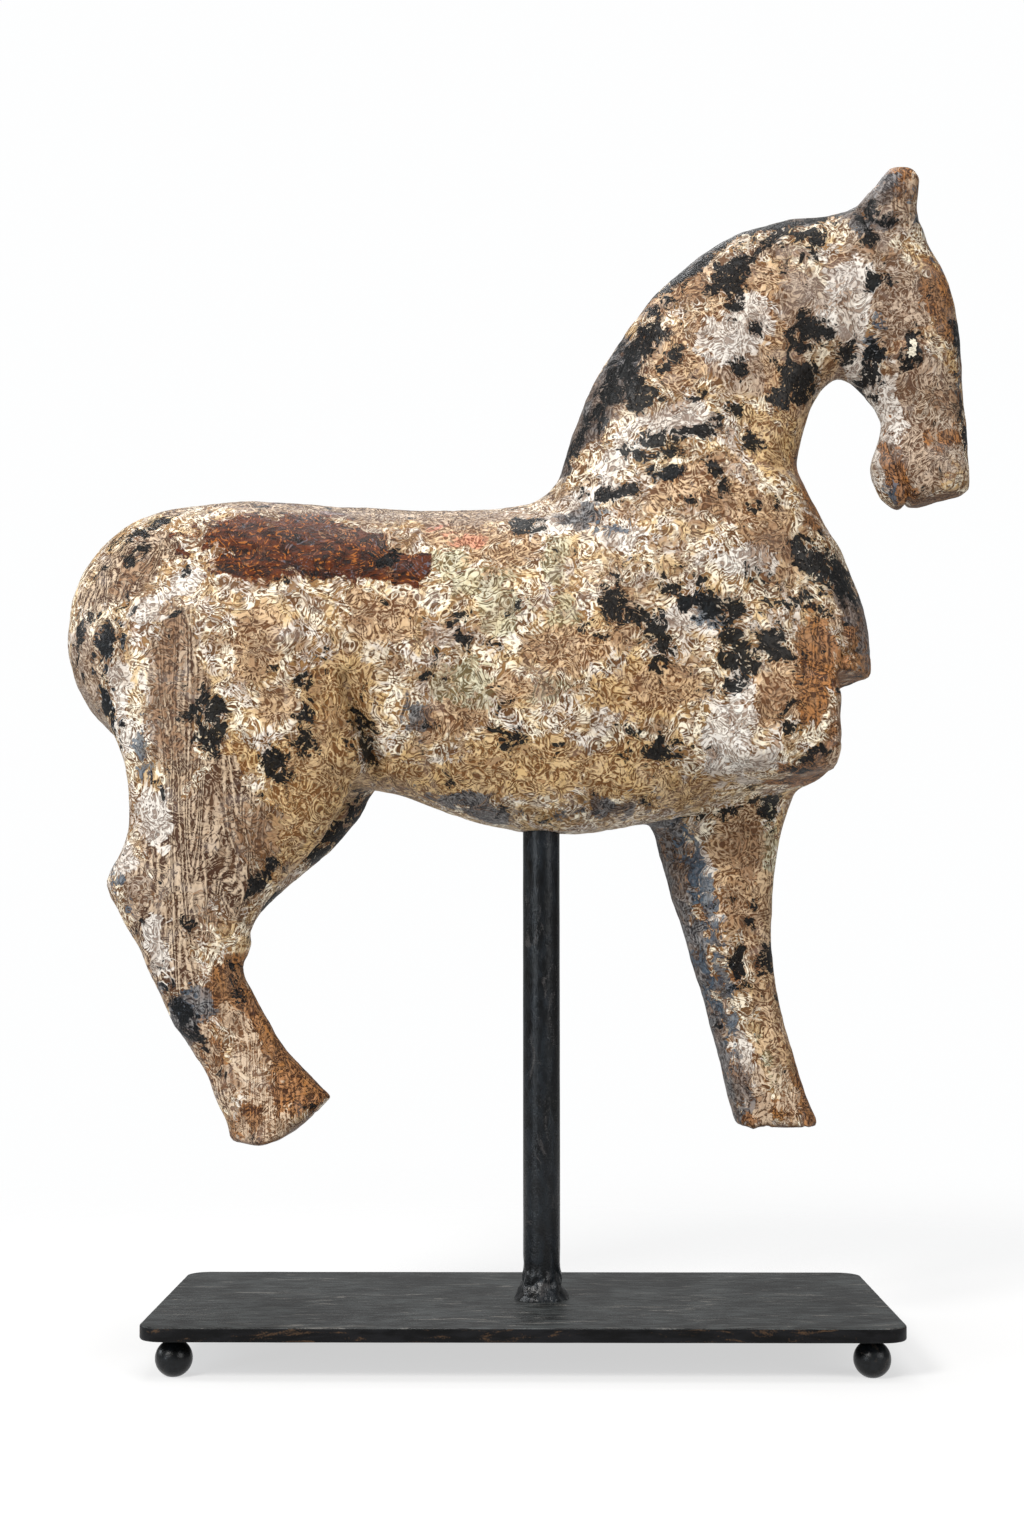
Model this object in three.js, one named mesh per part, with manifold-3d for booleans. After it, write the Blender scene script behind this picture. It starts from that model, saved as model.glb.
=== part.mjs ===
// Carved wooden horse, its near foreleg lost, held up by a steel rod on a steel base plate with ball feet.
// Millimetres, +Z up. +X points to the horse's head and -Y to its near side.
// The origin is on the floor, under the middle of the base plate.
import * as THREE from 'three';
import { mergeVertices } from 'three/addons/utils/BufferGeometryUtils.js';
import Module from 'manifold-3d';

const wasm = await Module();
wasm.setup();

// Base plate
const plateLength = 330;
const plateDepth = 150;
const plateThickness = 6.35;
const plateCornerRadius = 11;
const plateEdgeSoftening = 0.8;

// Ball feet: each has a small flat where it is welded to the plate and a worn one where it stands
const ballDiameter = 17;
const ballWeldFlat = 3.6;
const ballFloorFlat = 5;
const ballInsetFromEnd = 14.5;
const ballInsetFromSide = 13;

// Rod, with the weld bead that flares out at its foot
const rodDiameter = 17.1;
const rodOffset = 8.6;
const rodExposedLength = 214;
const weldDiameter = 25.5;
const weldHeight = 9;

// Hole for the rod in the horse's belly
const rodSeatDepth = 25;
const rodClearance = 0.3;

// Horse
const horseLength = 426;

// Fineness of the faceted surfaces
const roundSides = 28;
const weldSteps = 4;
const ballSides = 14;
const ballRings = 5;
const cornerSteps = 5;

// Heights that follow from the sizes above
const ballFlatHeight = (flat) => Math.sqrt(ballDiameter ** 2 - flat ** 2) / 2;
const ballCentreHeight = ballFlatHeight(ballFloorFlat);
const plateUnderside = ballCentreHeight + ballFlatHeight(ballWeldFlat);
const plateTop = plateUnderside + plateThickness;
const bellyHeight = plateTop + rodExposedLength;

const blackSteel = { color: 0x1c1c1d, roughness: 0.55, metalness: 0.7 };
const paintedWood = { color: 0xb09a78, roughness: 0.6, metalness: 0 };

function namedMesh(name, geometry, look) {
  const mesh = new THREE.Mesh(geometry, new THREE.MeshStandardMaterial(look));
  mesh.name = name;
  return mesh;
}

function makePlate() {
  const inset = plateEdgeSoftening;
  const x = plateLength / 2 - inset;
  const y = plateDepth / 2 - inset;
  const r = plateCornerRadius - inset;
  const outline = new THREE.Shape();
  outline.absarc(x - r, y - r, r, 0, Math.PI / 2);
  outline.absarc(r - x, y - r, r, Math.PI / 2, Math.PI);
  outline.absarc(r - x, r - y, r, Math.PI, 1.5 * Math.PI);
  outline.absarc(x - r, r - y, r, 1.5 * Math.PI, 2 * Math.PI);
  const geometry = new THREE.ExtrudeGeometry(outline, {
    depth: plateThickness - 2 * inset,
    bevelSize: inset,
    bevelThickness: inset,
    bevelSegments: 1,
    curveSegments: cornerSteps,
  });
  geometry.translate(0, 0, inset);
  const plate = namedMesh('base_plate', geometry, blackSteel);
  plate.position.z = plateUnderside;
  return plate;
}

// A steel ball about its own centre, cut by its two flats
function ballGeometry() {
  const radius = ballDiameter / 2;
  const low = -Math.acos(ballFloorFlat / ballDiameter);
  const high = Math.acos(ballWeldFlat / ballDiameter);
  const profile = [new THREE.Vector2(0, radius * Math.sin(low))];
  for (let i = 0; i <= ballRings; i++) {
    const angle = low + ((high - low) * i) / ballRings;
    profile.push(new THREE.Vector2(radius * Math.cos(angle), radius * Math.sin(angle)));
  }
  profile.push(new THREE.Vector2(0, radius * Math.sin(high)));
  return new THREE.LatheGeometry(profile, ballSides).rotateX(Math.PI / 2);
}

function makeFeet() {
  const feet = new THREE.Group();
  const geometry = ballGeometry();
  for (const [end, x] of [['left', -1], ['right', 1]]) {
    for (const [side, y] of [['front', -1], ['back', 1]]) {
      const foot = namedMesh(`foot_${side}_${end}`, geometry, blackSteel);
      foot.position.set(
        x * (plateLength / 2 - ballInsetFromEnd),
        y * (plateDepth / 2 - ballInsetFromSide),
        ballCentreHeight,
      );
      feet.add(foot);
    }
  }
  return feet;
}

function makeRod() {
  const radius = rodDiameter / 2;
  const flare = weldDiameter / 2 - radius;
  const length = rodExposedLength + rodSeatDepth - rodClearance;
  const profile = [new THREE.Vector2(0, 0)];
  for (let i = 0; i <= weldSteps; i++) {
    const angle = (Math.PI / 2) * (i / weldSteps);
    profile.push(new THREE.Vector2(radius + flare * (1 - Math.sin(angle)), weldHeight * (1 - Math.cos(angle))));
  }
  profile.push(new THREE.Vector2(radius, length), new THREE.Vector2(0, length));
  const rod = namedMesh('rod', new THREE.LatheGeometry(profile, roundSides).rotateX(Math.PI / 2), blackSteel);
  rod.position.set(rodOffset, 0, plateTop);
  return rod;
}

// The horse is carved in its own frame, which starts where the rod enters the belly.
// Its stations are slices [x, y, z, half depth, half width] in hundredths of the horse's length.
const percent = horseLength / 100;

const trunk = {
  slices: 'x',
  caps: [13.8, 8.2],
  taper: 0.06,
  stations: [
    [-38.5, 0, 21.8, 14.3, 11],
    [-33, 0, 21.9, 14.9, 11.4],
    [-25.4, 0, 21.1, 15.3, 11.3],
    [-16, 0, 20, 15.8, 10.7],
    [-6.6, 0, 18.3, 17.5, 11],
    [2.8, 0, 18.3, 18.5, 11.5],
    [12.2, 0, 19.2, 18.1, 11.6],
    [21.1, 0, 19.4, 15.6, 11],
    [28.1, 0, 18.8, 13.8, 9.4],
  ],
};

const neck = {
  slices: 'across',
  caps: [7, 5],
  squareness: 2.3,
  taper: -0.12,
  stations: [
    [16.1, 0, 30, 16, 10],
    [15.6, 0, 36.6, 14.1, 8.7],
    [15.9, 0, 41.9, 12.7, 7.2],
    [17.9, 0, 47.3, 11.9, 6.2],
    [20.8, 0, 52.9, 10.9, 5.5],
    [25.1, 0, 57.2, 10.2, 5],
    [29.8, 0, 59.4, 9.5, 4.7],
    [34.5, 0, 59.9, 8.6, 4.4],
  ],
};

const head = {
  slices: 'z',
  caps: [4.4, 3],
  taper: -0.08,
  stations: [
    [37.5, 0, 65.5, 5.7, 4.1],
    [38.5, 0, 61.7, 6.7, 4.6],
    [39.4, 0, 58, 7, 4.8],
    [40, 0, 53.3, 6.8, 4.7],
    [41.1, 0, 49.3, 5.8, 4.1],
    [42.4, 0, 45.8, 4.7, 3.6],
    [42.2, 0, 43, 5.2, 3.6],
    [41.9, 0, 40.1, 5.6, 3.9],
    [42.2, 0, 38, 5.2, 3.7],
  ],
};

const ear = {
  slices: 'z',
  caps: [2, 1.8],
  stations: [
    [38.2, -2.5, 67.2, 3.5, 2.3],
    [38.5, -2.6, 69.2, 3.3, 2.2],
    [39.3, -2.7, 71.2, 3, 2.1],
    [39.9, -2.7, 72.3, 2.6, 1.9],
  ],
};

const nearHindLeg = {
  slices: 'z',
  caps: [8, 8],
  stations: [
    [-33.6, -5.7, 20.7, 14.6, 6.3],
    [-33, -6.5, 12.4, 13.7, 6],
    [-32, -6.8, 6.4, 12.5, 5.3],
    [-33.8, -6.8, -1.1, 10.6, 4.4],
    [-36, -6.7, -3.7, 10.5, 4],
    [-37.1, -6.6, -6.2, 9.4, 3.9],
    [-37.5, -6.6, -9.3, 7.4, 3.7],
    [-37.2, -6.6, -12.7, 5.8, 3.4],
    [-36.7, -6.6, -15, 5.3, 3.2],
    [-34.7, -6.6, -19.1, 5.5, 3.1],
    [-32.7, -6.6, -22.4, 5.3, 3.1],
    [-30.5, -6.6, -25.3, 5.7, 3.3],
    [-28.4, -6.6, -28.1, 6.4, 3.6],
    [-26.1, -6.6, -32, 7.1, 3.9],
  ],
};

const farHindLeg = {
  slices: 'z',
  caps: [8, 8],
  stations: [
    [-33.6, 5.7, 20.7, 14.6, 6.3],
    [-32.4, 6.5, 12.4, 13.9, 6],
    [-30.8, 6.8, 4.9, 12.3, 5.2],
    [-33.1, 6.8, -1.3, 10.2, 4.4],
    [-37.4, 6.7, -5.6, 9.5, 4],
    [-39, 6.6, -9.6, 7, 3.6],
    [-38.8, 6.6, -13, 5.5, 3.4],
    [-38.7, 6.6, -15.2, 4.9, 3.2],
    [-36.4, 6.6, -19.6, 5.2, 3.1],
    [-34.4, 6.6, -22.9, 5, 3.1],
    [-32.2, 6.6, -26.2, 5.4, 3.3],
    [-30, 6.6, -29.2, 6, 3.6],
    [-28, 6.6, -33, 6.5, 3.9],
  ],
};

const farForeleg = {
  slices: 'z',
  caps: [6, 6],
  squareness: 2.8,
  stations: [
    [19.2, 5.2, 14.8, 9.4, 6.1],
    [20.2, 5.9, 5.9, 8.4, 4.9],
    [19.8, 6.1, 0.5, 7.3, 4.2],
    [20.1, 6.2, -4.5, 6.2, 3.8],
    [20.7, 6.3, -9.6, 5.3, 3.4],
    [21.4, 6.3, -14.6, 4.6, 3.2],
    [22.6, 6.3, -19.6, 4.3, 3.1],
    [23.9, 6.3, -24.6, 4.3, 3.2],
    [25.3, 6.3, -29.6, 4.6, 3.4],
    [26.8, 6.3, -34, 4.8, 3.5],
  ],
};

const forelegStump = {
  slices: 'x',
  caps: [4, 4],
  squareness: 2.6,
  stations: [
    [21.5, -6.8, 11.4, 6, 5.3],
    [26.2, -7, 11.4, 5.8, 5.3],
    [33.3, -7, 11.8, 5, 5],
  ],
};

// The fold between thigh and flank, carved on both sides
const flankFold = {
  slices: 'z',
  caps: [2, 2],
  stations: [
    [-19, -12, 15, 1, 1.8],
    [-18.4, -11.4, 10.6, 1.5, 2.8],
    [-17.2, -10.4, 6.4, 1.4, 2.8],
  ],
};

// The hollow under the breast, on the side of the leg that is whole
const breastHollow = {
  slices: 'y',
  caps: [0.5, 4],
  squareness: 5,
  stations: [
    [39.5, 0, 7, 8, 9.8],
    [38.6, 6, 7, 8.3, 9.7],
    [35.5, 11, 7, 8.6, 9.2],
  ],
};

// Eyeballs, which stand a little proud of the head
const eye = {
  slices: 'z',
  caps: [1.5, 1.5],
  stations: [
    [40.2, -3.4, 53.6, 1.9, 1.4],
    [40.6, -3.4, 51.8, 1.9, 1.4],
  ],
};

// Cuts with the saw and the knife, in the same hundredths. The near leg's sole is given from heel to toe.
// The notch under the breast, where the near foreleg was, reaches from the near side to just past the middle.
const chestEnd = 31.6;
const breastUnderside = 16.8;
const notchFarSide = 0.6;
const forelegSole = -32.4;
const nearHindSole = [[-34, -32.5], [-31, -33.2], [-28.8, -33.1], [-25.7, -31.6], [-22, -28.1]];
const farHindSole = nearHindSole.map(([x, z]) => [x - 1.6, z - 0.8]);
const muzzleEnd = [[38.4, 35.4], [47.2, 37.6]];
const mouth = { corner: [39.7, 42], lip: [40.9, 35], width: 0.5 };

// Grid that the horse's surface is netted on, in the same hundredths: a start, then an end and a spacing for
// each stretch, closer about the head
const gridX = [-58, [32, 2.45], [50, 1.6]];
const gridY = [-15, [15, 2.2]];
const gridZ = [-44, [34, 2.65], [79, 1.8]];

const mirrored = (sweep) => ({ ...sweep, stations: sweep.stations.map(([x, y, ...rest]) => [x, -y, ...rest]) });

// The directions of depth and width in a slice
const sliceAxes = { x: ['z', 'y'], y: ['x', 'z'], z: ['x', 'y'] };

// How far a point lies outside a sweep: negative inside, in hundredths
function sweepField({ slices, stations, caps, squareness = 2, taper = 0 }) {
  const stepsPerStation = 8;
  const steps = (stations.length - 1) * stepsPerStation;
  const smoothed = (vectors) => new THREE.CatmullRomCurve3(vectors, false, 'catmullrom').getPoints(steps);
  const centres = smoothed(stations.map(([x, y, z]) => new THREE.Vector3(x, y, z)));
  const halves = smoothed(stations.map((station) => new THREE.Vector3(station[3], station[4], 0)));

  // Each piece of the spine gives a share along it, and how far the point lies beyond its ends
  const along = new THREE.Vector3();
  const offset = new THREE.Vector3();
  function onPiece(point, i) {
    if (slices === 'across') {
      along.subVectors(centres[i + 1], centres[i]);
      return offset.subVectors(point, centres[i]).dot(along) / along.lengthSq();
    }
    return (point[slices] - centres[i][slices]) / (centres[i + 1][slices] - centres[i][slices]);
  }

  const box = new THREE.Box3().setFromPoints(centres);
  box.expandByScalar(Math.max(...caps, ...stations.map((station) => Math.max(station[3], station[4]))));
  const centre = new THREE.Vector3();
  const half = new THREE.Vector3();
  function distance(point) {
    let best = { miss: Infinity };
    for (let i = 0; i < steps; i++) {
      const share = onPiece(point, i);
      const clamped = THREE.MathUtils.clamp(share, 0, 1);
      centre.lerpVectors(centres[i], centres[i + 1], clamped);
      const miss = slices === 'across' ? centre.distanceTo(point) : Math.abs(share - clamped);
      if (miss < best.miss) {
        best = { miss, i, share, clamped };
      }
      if (miss === 0) {
        break;
      }
    }
    const { i, share, clamped } = best;
    centre.lerpVectors(centres[i], centres[i + 1], clamped);
    half.lerpVectors(halves[i], halves[i + 1], clamped);
    along.subVectors(centres[i + 1], centres[i]);
    offset.subVectors(point, centre);
    let [u, v] = (sliceAxes[slices] ?? ['x', 'y']).map((axis) => offset[axis]);
    let beyond = offset[slices];
    if (slices === 'across') {
      along.normalize();
      u = offset.x * along.z - offset.z * along.x;
      beyond = offset.dot(along);
    }
    if (share === clamped) {
      beyond = 0;
    }
    const lean = THREE.MathUtils.clamp(u / half.x, -1, 1);
    const parts = [u / half.x, v / (half.y * (1 - taper * lean)), beyond / caps[share < 0 ? 0 : 1]];
    const ratio = parts.reduce((sum, part) => sum + Math.abs(part) ** squareness, 0) ** (1 / squareness);
    const reach = Math.hypot(u, v, beyond);
    return ratio < 1e-6 ? -Math.min(half.x, half.y) : reach * (1 - 1 / ratio);
  }
  return { box, distance };
}

// Joins and cuts with a fillet of the given size
function blend(a, b, size) {
  const overlap = Math.max(size - Math.abs(a - b), 0) / size;
  return Math.min(a, b) - (overlap * overlap * size) / 4;
}
const carve = (a, b, size) => -blend(-a, b, size);

function horseField() {
  const body = sweepField(trunk);
  const joined = [
    [sweepField(neck), 4],
    [sweepField(head), 3],
    [sweepField(eye), 1],
    [sweepField(mirrored(eye)), 1],
    [sweepField(ear), 1],
    [sweepField(mirrored(ear)), 1],
    [sweepField(nearHindLeg), 2.5],
    [sweepField(farHindLeg), 2.5],
    [sweepField(farForeleg), 2.5],
    [sweepField(forelegStump), 1.2],
  ];
  const carved = [
    [sweepField(flankFold), 2.4],
    [sweepField(mirrored(flankFold)), 2.4],
    [sweepField(breastHollow), 1.5],
  ];
  return (point) => {
    let value = body.distance(point);
    for (const [{ box, distance }, fillet] of joined) {
      if (box.distanceToPoint(point) < value + fillet) {
        value = blend(value, distance(point), fillet);
      }
    }
    for (const [{ box, distance }, fillet] of carved) {
      if (box.distanceToPoint(point) < fillet - value) {
        value = carve(value, distance(point), fillet);
      }
    }
    return value;
  };
}

// Grid lines from start to end, with a spacing that changes at each given place
function gridLines(start, ...stretches) {
  const lines = [start];
  for (const [end, spacing] of stretches) {
    const from = lines.at(-1);
    const count = Math.ceil((end - from) / spacing);
    for (let i = 1; i <= count; i++) {
      lines.push(from + ((end - from) * i) / count);
    }
  }
  return lines;
}

// A grid cell: its corners, its edges as [lower corner, axis], and the edges around each of its faces
const cellCorners = [0, 1, 2, 3, 4, 5, 6, 7].map((corner) => [corner & 1, (corner >> 1) & 1, corner >> 2]);
const cellEdges = [0, 1, 2].flatMap((axis) => cellCorners
  .map((corner, code) => ({ code, axis, end: code | (1 << axis), key: code * 3 + axis, low: !corner[axis] }))
  .filter((edge) => edge.low));
const cellFaces = [0, 1, 2].flatMap((axis) => [0, 1].map((side) => cellEdges
  .filter((edge) => edge.axis !== axis && cellCorners[edge.code][axis] === side)));

// The edges of a cell that the surface crosses, in one list for each sheet of it that passes through
function sheetsThrough(values) {
  const crossed = (edge) => values[edge.code] < 0 !== values[edge.end] < 0;
  const sheetOf = new Map(cellEdges.filter(crossed).map((edge) => [edge, edge.key]));
  const link = (one, other) => {
    const [from, to] = [sheetOf.get(one), sheetOf.get(other)];
    sheetOf.forEach((sheet, edge) => sheetOf.set(edge, sheet === from ? to : sheet));
  };
  for (const face of cellFaces) {
    const cut = face.filter(crossed);
    if (cut.length === 2) {
      link(...cut);
    } else if (cut.length === 4) {
      for (const edge of cut) {
        const inner = values[edge.code] < 0 ? edge.code : edge.end;
        cut.filter(({ code, end }) => code === inner || end === inner).forEach((other) => link(edge, other));
      }
    }
  }
  const sheets = new Map();
  sheetOf.forEach((sheet, edge) => sheets.set(sheet, [...(sheets.get(sheet) ?? []), edge]));
  return [...sheets.values()];
}

// Wraps the surface where the field is zero in a net of four-sided faces, each split into two triangles
function wrapSurface(field, xs, ys, zs) {
  const index = (i, j, k) => (i * ys.length + j) * zs.length + k;
  const gridPoint = (i, j, k) => new THREE.Vector3(xs[i], ys[j], zs[k]);
  const values = [];
  for (let i = 0; i < xs.length; i++) {
    for (let j = 0; j < ys.length; j++) {
      for (let k = 0; k < zs.length; k++) {
        values.push(field(gridPoint(i, j, k)));
      }
    }
  }

  const vertices = [];
  const vertexOf = new Map();
  const edgeKey = (i, j, k, key) => index(i, j, k) * 24 + key;
  for (let i = 0; i < xs.length - 1; i++) {
    for (let j = 0; j < ys.length - 1; j++) {
      for (let k = 0; k < zs.length - 1; k++) {
        const at = cellCorners.map(([a, b, c]) => values[index(i + a, j + b, k + c)]);
        for (const sheet of sheetsThrough(at)) {
          const middle = new THREE.Vector3();
          for (const { code, end, key } of sheet) {
            const [from, to] = [code, end].map((corner) => {
              const [a, b, c] = cellCorners[corner];
              return gridPoint(i + a, j + b, k + c);
            });
            middle.addScaledVector(from.lerp(to, at[code] / (at[code] - at[end])), 1 / sheet.length);
            vertexOf.set(edgeKey(i, j, k, key), vertices.length);
          }
          vertices.push(settle(field, middle).clamp(gridPoint(i, j, k), gridPoint(i + 1, j + 1, k + 1)));
        }
      }
    }
  }

  // Each crossed grid edge is ringed by four cells, whose vertices are the corners of one face
  const triangles = [];
  const cellRing = [[0, 0], [1, 0], [1, 1], [0, 1]];
  for (let i = 1; i < xs.length - 1; i++) {
    for (let j = 1; j < ys.length - 1; j++) {
      for (let k = 1; k < zs.length - 1; k++) {
        const inside = values[index(i, j, k)] < 0;
        for (let axis = 0; axis < 3; axis++) {
          const next = [i, j, k];
          next[axis] += 1;
          if (inside !== values[index(...next)] < 0) {
            const ring = cellRing.map(([p, q]) => {
              const back = [0, 0, 0];
              back[(axis + 1) % 3] = p;
              back[(axis + 2) % 3] = q;
              const code = back[0] + 2 * back[1] + 4 * back[2];
              return vertexOf.get(edgeKey(i - back[0], j - back[1], k - back[2], code * 3 + axis));
            });
            const [a, b, c, d] = inside ? ring : ring.reverse();
            if (vertices[a].distanceTo(vertices[c]) < vertices[b].distanceTo(vertices[d])) {
              triangles.push(a, b, c, a, c, d);
            } else {
              triangles.push(a, b, d, b, c, d);
            }
          }
        }
      }
    }
  }
  evenOut(field, vertices, triangles);
  return new THREE.BufferGeometry().setFromPoints(vertices).setIndex(triangles);
}

// Draws each vertex halfway to the middle of its neighbours and back onto the surface
function evenOut(field, vertices, triangles) {
  const neighbours = vertices.map(() => new Set());
  for (let n = 0; n < triangles.length; n += 3) {
    const [a, b, c] = triangles.slice(n, n + 3);
    neighbours[a].add(b).add(c);
    neighbours[b].add(c).add(a);
    neighbours[c].add(a).add(b);
  }
  const rounds = 3;
  for (let round = 0; round < rounds; round++) {
    const drawn = vertices.map((vertex, n) => {
      const middle = new THREE.Vector3();
      neighbours[n].forEach((other) => middle.addScaledVector(vertices[other], 1 / neighbours[n].size));
      return middle.lerp(vertex, 0.5);
    });
    drawn.forEach((point, n) => vertices[n].copy(settle(field, point)));
  }
}

// Slides a point onto the surface along the field's slope
function settle(field, point) {
  const reach = 0.05;
  const settleSteps = 4;
  const leastSlope = 0.45;
  const probe = new THREE.Vector3();
  const slope = new THREE.Vector3();
  for (let step = 0; step < settleSteps; step++) {
    const value = field(point);
    for (const axis of ['x', 'y', 'z']) {
      probe.copy(point)[axis] += reach;
      slope[axis] = (field(probe) - value) / reach;
    }
    point.addScaledVector(slope, -value / Math.max(slope.lengthSq(), leastSlope ** 2));
  }
  return point;
}

function toSolid(geometry) {
  const plain = geometry.clone();
  plain.deleteAttribute('normal');
  plain.deleteAttribute('uv');
  const merged = mergeVertices(plain, 1e-5);
  return new wasm.Manifold(new wasm.Mesh({
    numProp: 3,
    vertProperties: new Float32Array(merged.attributes.position.array),
    triVerts: new Uint32Array(merged.index.array),
  }));
}

function toGeometry(solid) {
  const { vertProperties, triVerts } = solid.getMesh();
  const geometry = new THREE.BufferGeometry();
  geometry.setAttribute('position', new THREE.BufferAttribute(vertProperties, 3));
  geometry.setIndex(new THREE.BufferAttribute(triVerts, 1));
  return geometry;
}

// A cutter with the given outline in the side view, from one Y to another
function sideCutter(points, yFrom, yTo) {
  const outline = new THREE.Shape(points.map(([x, z]) => new THREE.Vector2(x * percent, z * percent)));
  const depth = (yTo - yFrom) * percent;
  const geometry = new THREE.ExtrudeGeometry(outline, { depth, bevelEnabled: false });
  return toSolid(geometry.rotateX(Math.PI / 2).translate(0, yTo * percent, 0));
}

// The outline of what lies below a line of points, which runs on straight past both ends
function below(points, runOn) {
  const beyond = ([x1, z1], [x2, z2]) => [
    x2 + Math.sign(x2 - x1) * runOn,
    z2 + ((z2 - z1) / Math.abs(x2 - x1)) * runOn,
  ];
  const first = beyond(points[1], points[0]);
  const last = beyond(points.at(-2), points.at(-1));
  const floor = Math.min(first[1], last[1]) - runOn;
  return [[first[0], floor], [last[0], floor], last, ...[...points].reverse(), first];
}

function makeHorse() {
  const surface = wrapSurface(horseField(), gridLines(...gridX), gridLines(...gridY), gridLines(...gridZ));
  let horse = toSolid(surface.scale(percent, percent, percent));

  const side = 20;
  const front = 60;
  const notch = [[chestEnd, -side], [front, -side], [front, breastUnderside], [chestEnd, breastUnderside]];
  const cutters = [
    sideCutter(notch, -side, notchFarSide),
    sideCutter(below([[15, forelegSole], [35, forelegSole]], 8), -side, side),
    sideCutter(below(nearHindSole, 12), -side, 0),
    sideCutter(below(farHindSole, 12), 0, side),
    sideCutter(below(muzzleEnd, 2.5), -side, side),
    mouthCutter(),
    rodHoleCutter(),
  ];
  for (const cutter of cutters) {
    horse = horse.subtract(cutter);
  }
  const mesh = namedMesh('horse', toGeometry(horse), paintedWood);
  mesh.position.set(rodOffset, 0, bellyHeight);
  return mesh;
}

// The carved slit between the lips, a wedge that closes towards its corner
function mouthCutter() {
  const { corner, lip, width } = mouth;
  const wedge = [corner, [lip[0] - width / 2, lip[1]], [lip[0] + width / 2, lip[1]]];
  return sideCutter(wedge, -head.stations.at(-1)[4] * 2, head.stations.at(-1)[4] * 2);
}

// The blind hole for the rod, from a little under the belly
function rodHoleCutter() {
  const radius = rodDiameter / 2 + rodClearance;
  const lead = rodDiameter;
  const hole = new THREE.CylinderGeometry(radius, radius, rodSeatDepth + lead, roundSides).rotateX(Math.PI / 2);
  return toSolid(hole.translate(0, 0, (rodSeatDepth - lead) / 2));
}

const object = new THREE.Group();
object.add(makePlate(), makeFeet(), makeRod(), makeHorse());
export default object;
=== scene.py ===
from math import cos, hypot, pi, radians, sin

import bmesh
import bpy
import numpy as np
from mathutils import Matrix, Vector, noise


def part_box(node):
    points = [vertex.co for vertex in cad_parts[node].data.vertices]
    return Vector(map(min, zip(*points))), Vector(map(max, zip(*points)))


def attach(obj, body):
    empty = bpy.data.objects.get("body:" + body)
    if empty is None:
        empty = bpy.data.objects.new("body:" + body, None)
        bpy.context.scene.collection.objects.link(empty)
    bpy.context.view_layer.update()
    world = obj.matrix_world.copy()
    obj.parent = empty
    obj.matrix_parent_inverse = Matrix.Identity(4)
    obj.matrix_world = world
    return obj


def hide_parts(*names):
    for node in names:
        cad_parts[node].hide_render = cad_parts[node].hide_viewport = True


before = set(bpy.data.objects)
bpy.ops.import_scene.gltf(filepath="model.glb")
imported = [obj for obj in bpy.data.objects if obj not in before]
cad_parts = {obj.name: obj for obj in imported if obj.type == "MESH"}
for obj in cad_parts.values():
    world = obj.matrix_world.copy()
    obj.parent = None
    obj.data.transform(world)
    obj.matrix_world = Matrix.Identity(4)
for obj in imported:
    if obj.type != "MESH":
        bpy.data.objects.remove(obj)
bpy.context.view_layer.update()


# The four feet: solid steel balls blackened with the rest of the stand. Each is welded to the underside of
# the plate, with a thin collar of weld round its neck, and is worn a little flat where it stands.
class Wire:
    """A node's output in one finish, so that a finish can be written as sums."""

    def __init__(self, tree, socket):
        self.tree = tree
        self.socket = socket

    def node(self, kind, settings=None, sockets=None, output=0):
        """Adds a node to the same finish: its settings first, then its sockets' values or wires."""
        made = self.tree.nodes.new(kind)
        for name, value in (settings or {}).items():
            setattr(made, name, value)
        for name, value in (sockets or {}).items():
            if isinstance(value, Wire):
                self.tree.links.new(value.socket, made.inputs[name])
            else:
                made.inputs[name].default_value = value
        return Wire(self.tree, made.outputs[output] if made.outputs else None)

    def math(self, operation, *values):
        return self.node("ShaderNodeMath", {"operation": operation}, dict(enumerate(values)))

    def __add__(self, other):
        return self.math("ADD", self, other)

    __radd__ = __add__

    def __sub__(self, other):
        return self.math("SUBTRACT", self, other)

    def __rsub__(self, other):
        return self.math("SUBTRACT", other, self)

    def __mul__(self, other):
        return self.math("MULTIPLY", self, other)

    __rmul__ = __mul__

    def ease(self, low, high):
        """0 below low and 1 above high, with a soft turn between."""
        return self.node("ShaderNodeMapRange", {"interpolation_type": "SMOOTHSTEP"},
                         {"Value": self, "From Min": low, "From Max": high})

    def blend(self, under, over):
        """The colour under where this is 0, and over where it is 1."""
        return self.node("ShaderNodeMix", {"data_type": "RGBA"}, {0: self, 6: under, 7: over}, 2)

    def towards(self, other, share):
        """This colour, moved towards the other by the same share everywhere."""
        return self.node("ShaderNodeMix", {"data_type": "RGBA"}, {0: share, 6: self, 7: other}, 2)

    def stretch(self, x, y, z):
        """This place, stretched, so that what is drawn with it follows the grain."""
        return self.node("ShaderNodeVectorMath", {"operation": "MULTIPLY"}, {0: self, 1: (x, y, z)})

    def cloud(self, scale, detail=2.0, twist=0.0, rough=0.55):
        """A mottle at this place: about scale blotches to the metre."""
        return self.node("ShaderNodeTexNoise", {"noise_dimensions": "3D"},
                         {"Vector": self, "Scale": scale, "Detail": detail, "Roughness": rough,
                          "Distortion": twist})


def tint(red, green, blue):
    """A colour from the 0 to 255 numbers of a paint chart, as light."""
    return tuple((part / 255) ** 2.2 for part in (red, green, blue)) + (1.0,)


def start_finish(name):
    """A new material with nothing in it yet, and the wire that carries each point's place on the object."""
    finish = bpy.data.materials.new(name)
    finish.use_nodes = True
    finish.node_tree.nodes.clear()
    return finish, Wire(finish.node_tree, None).node("ShaderNodeTexCoord", output="Object")


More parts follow.
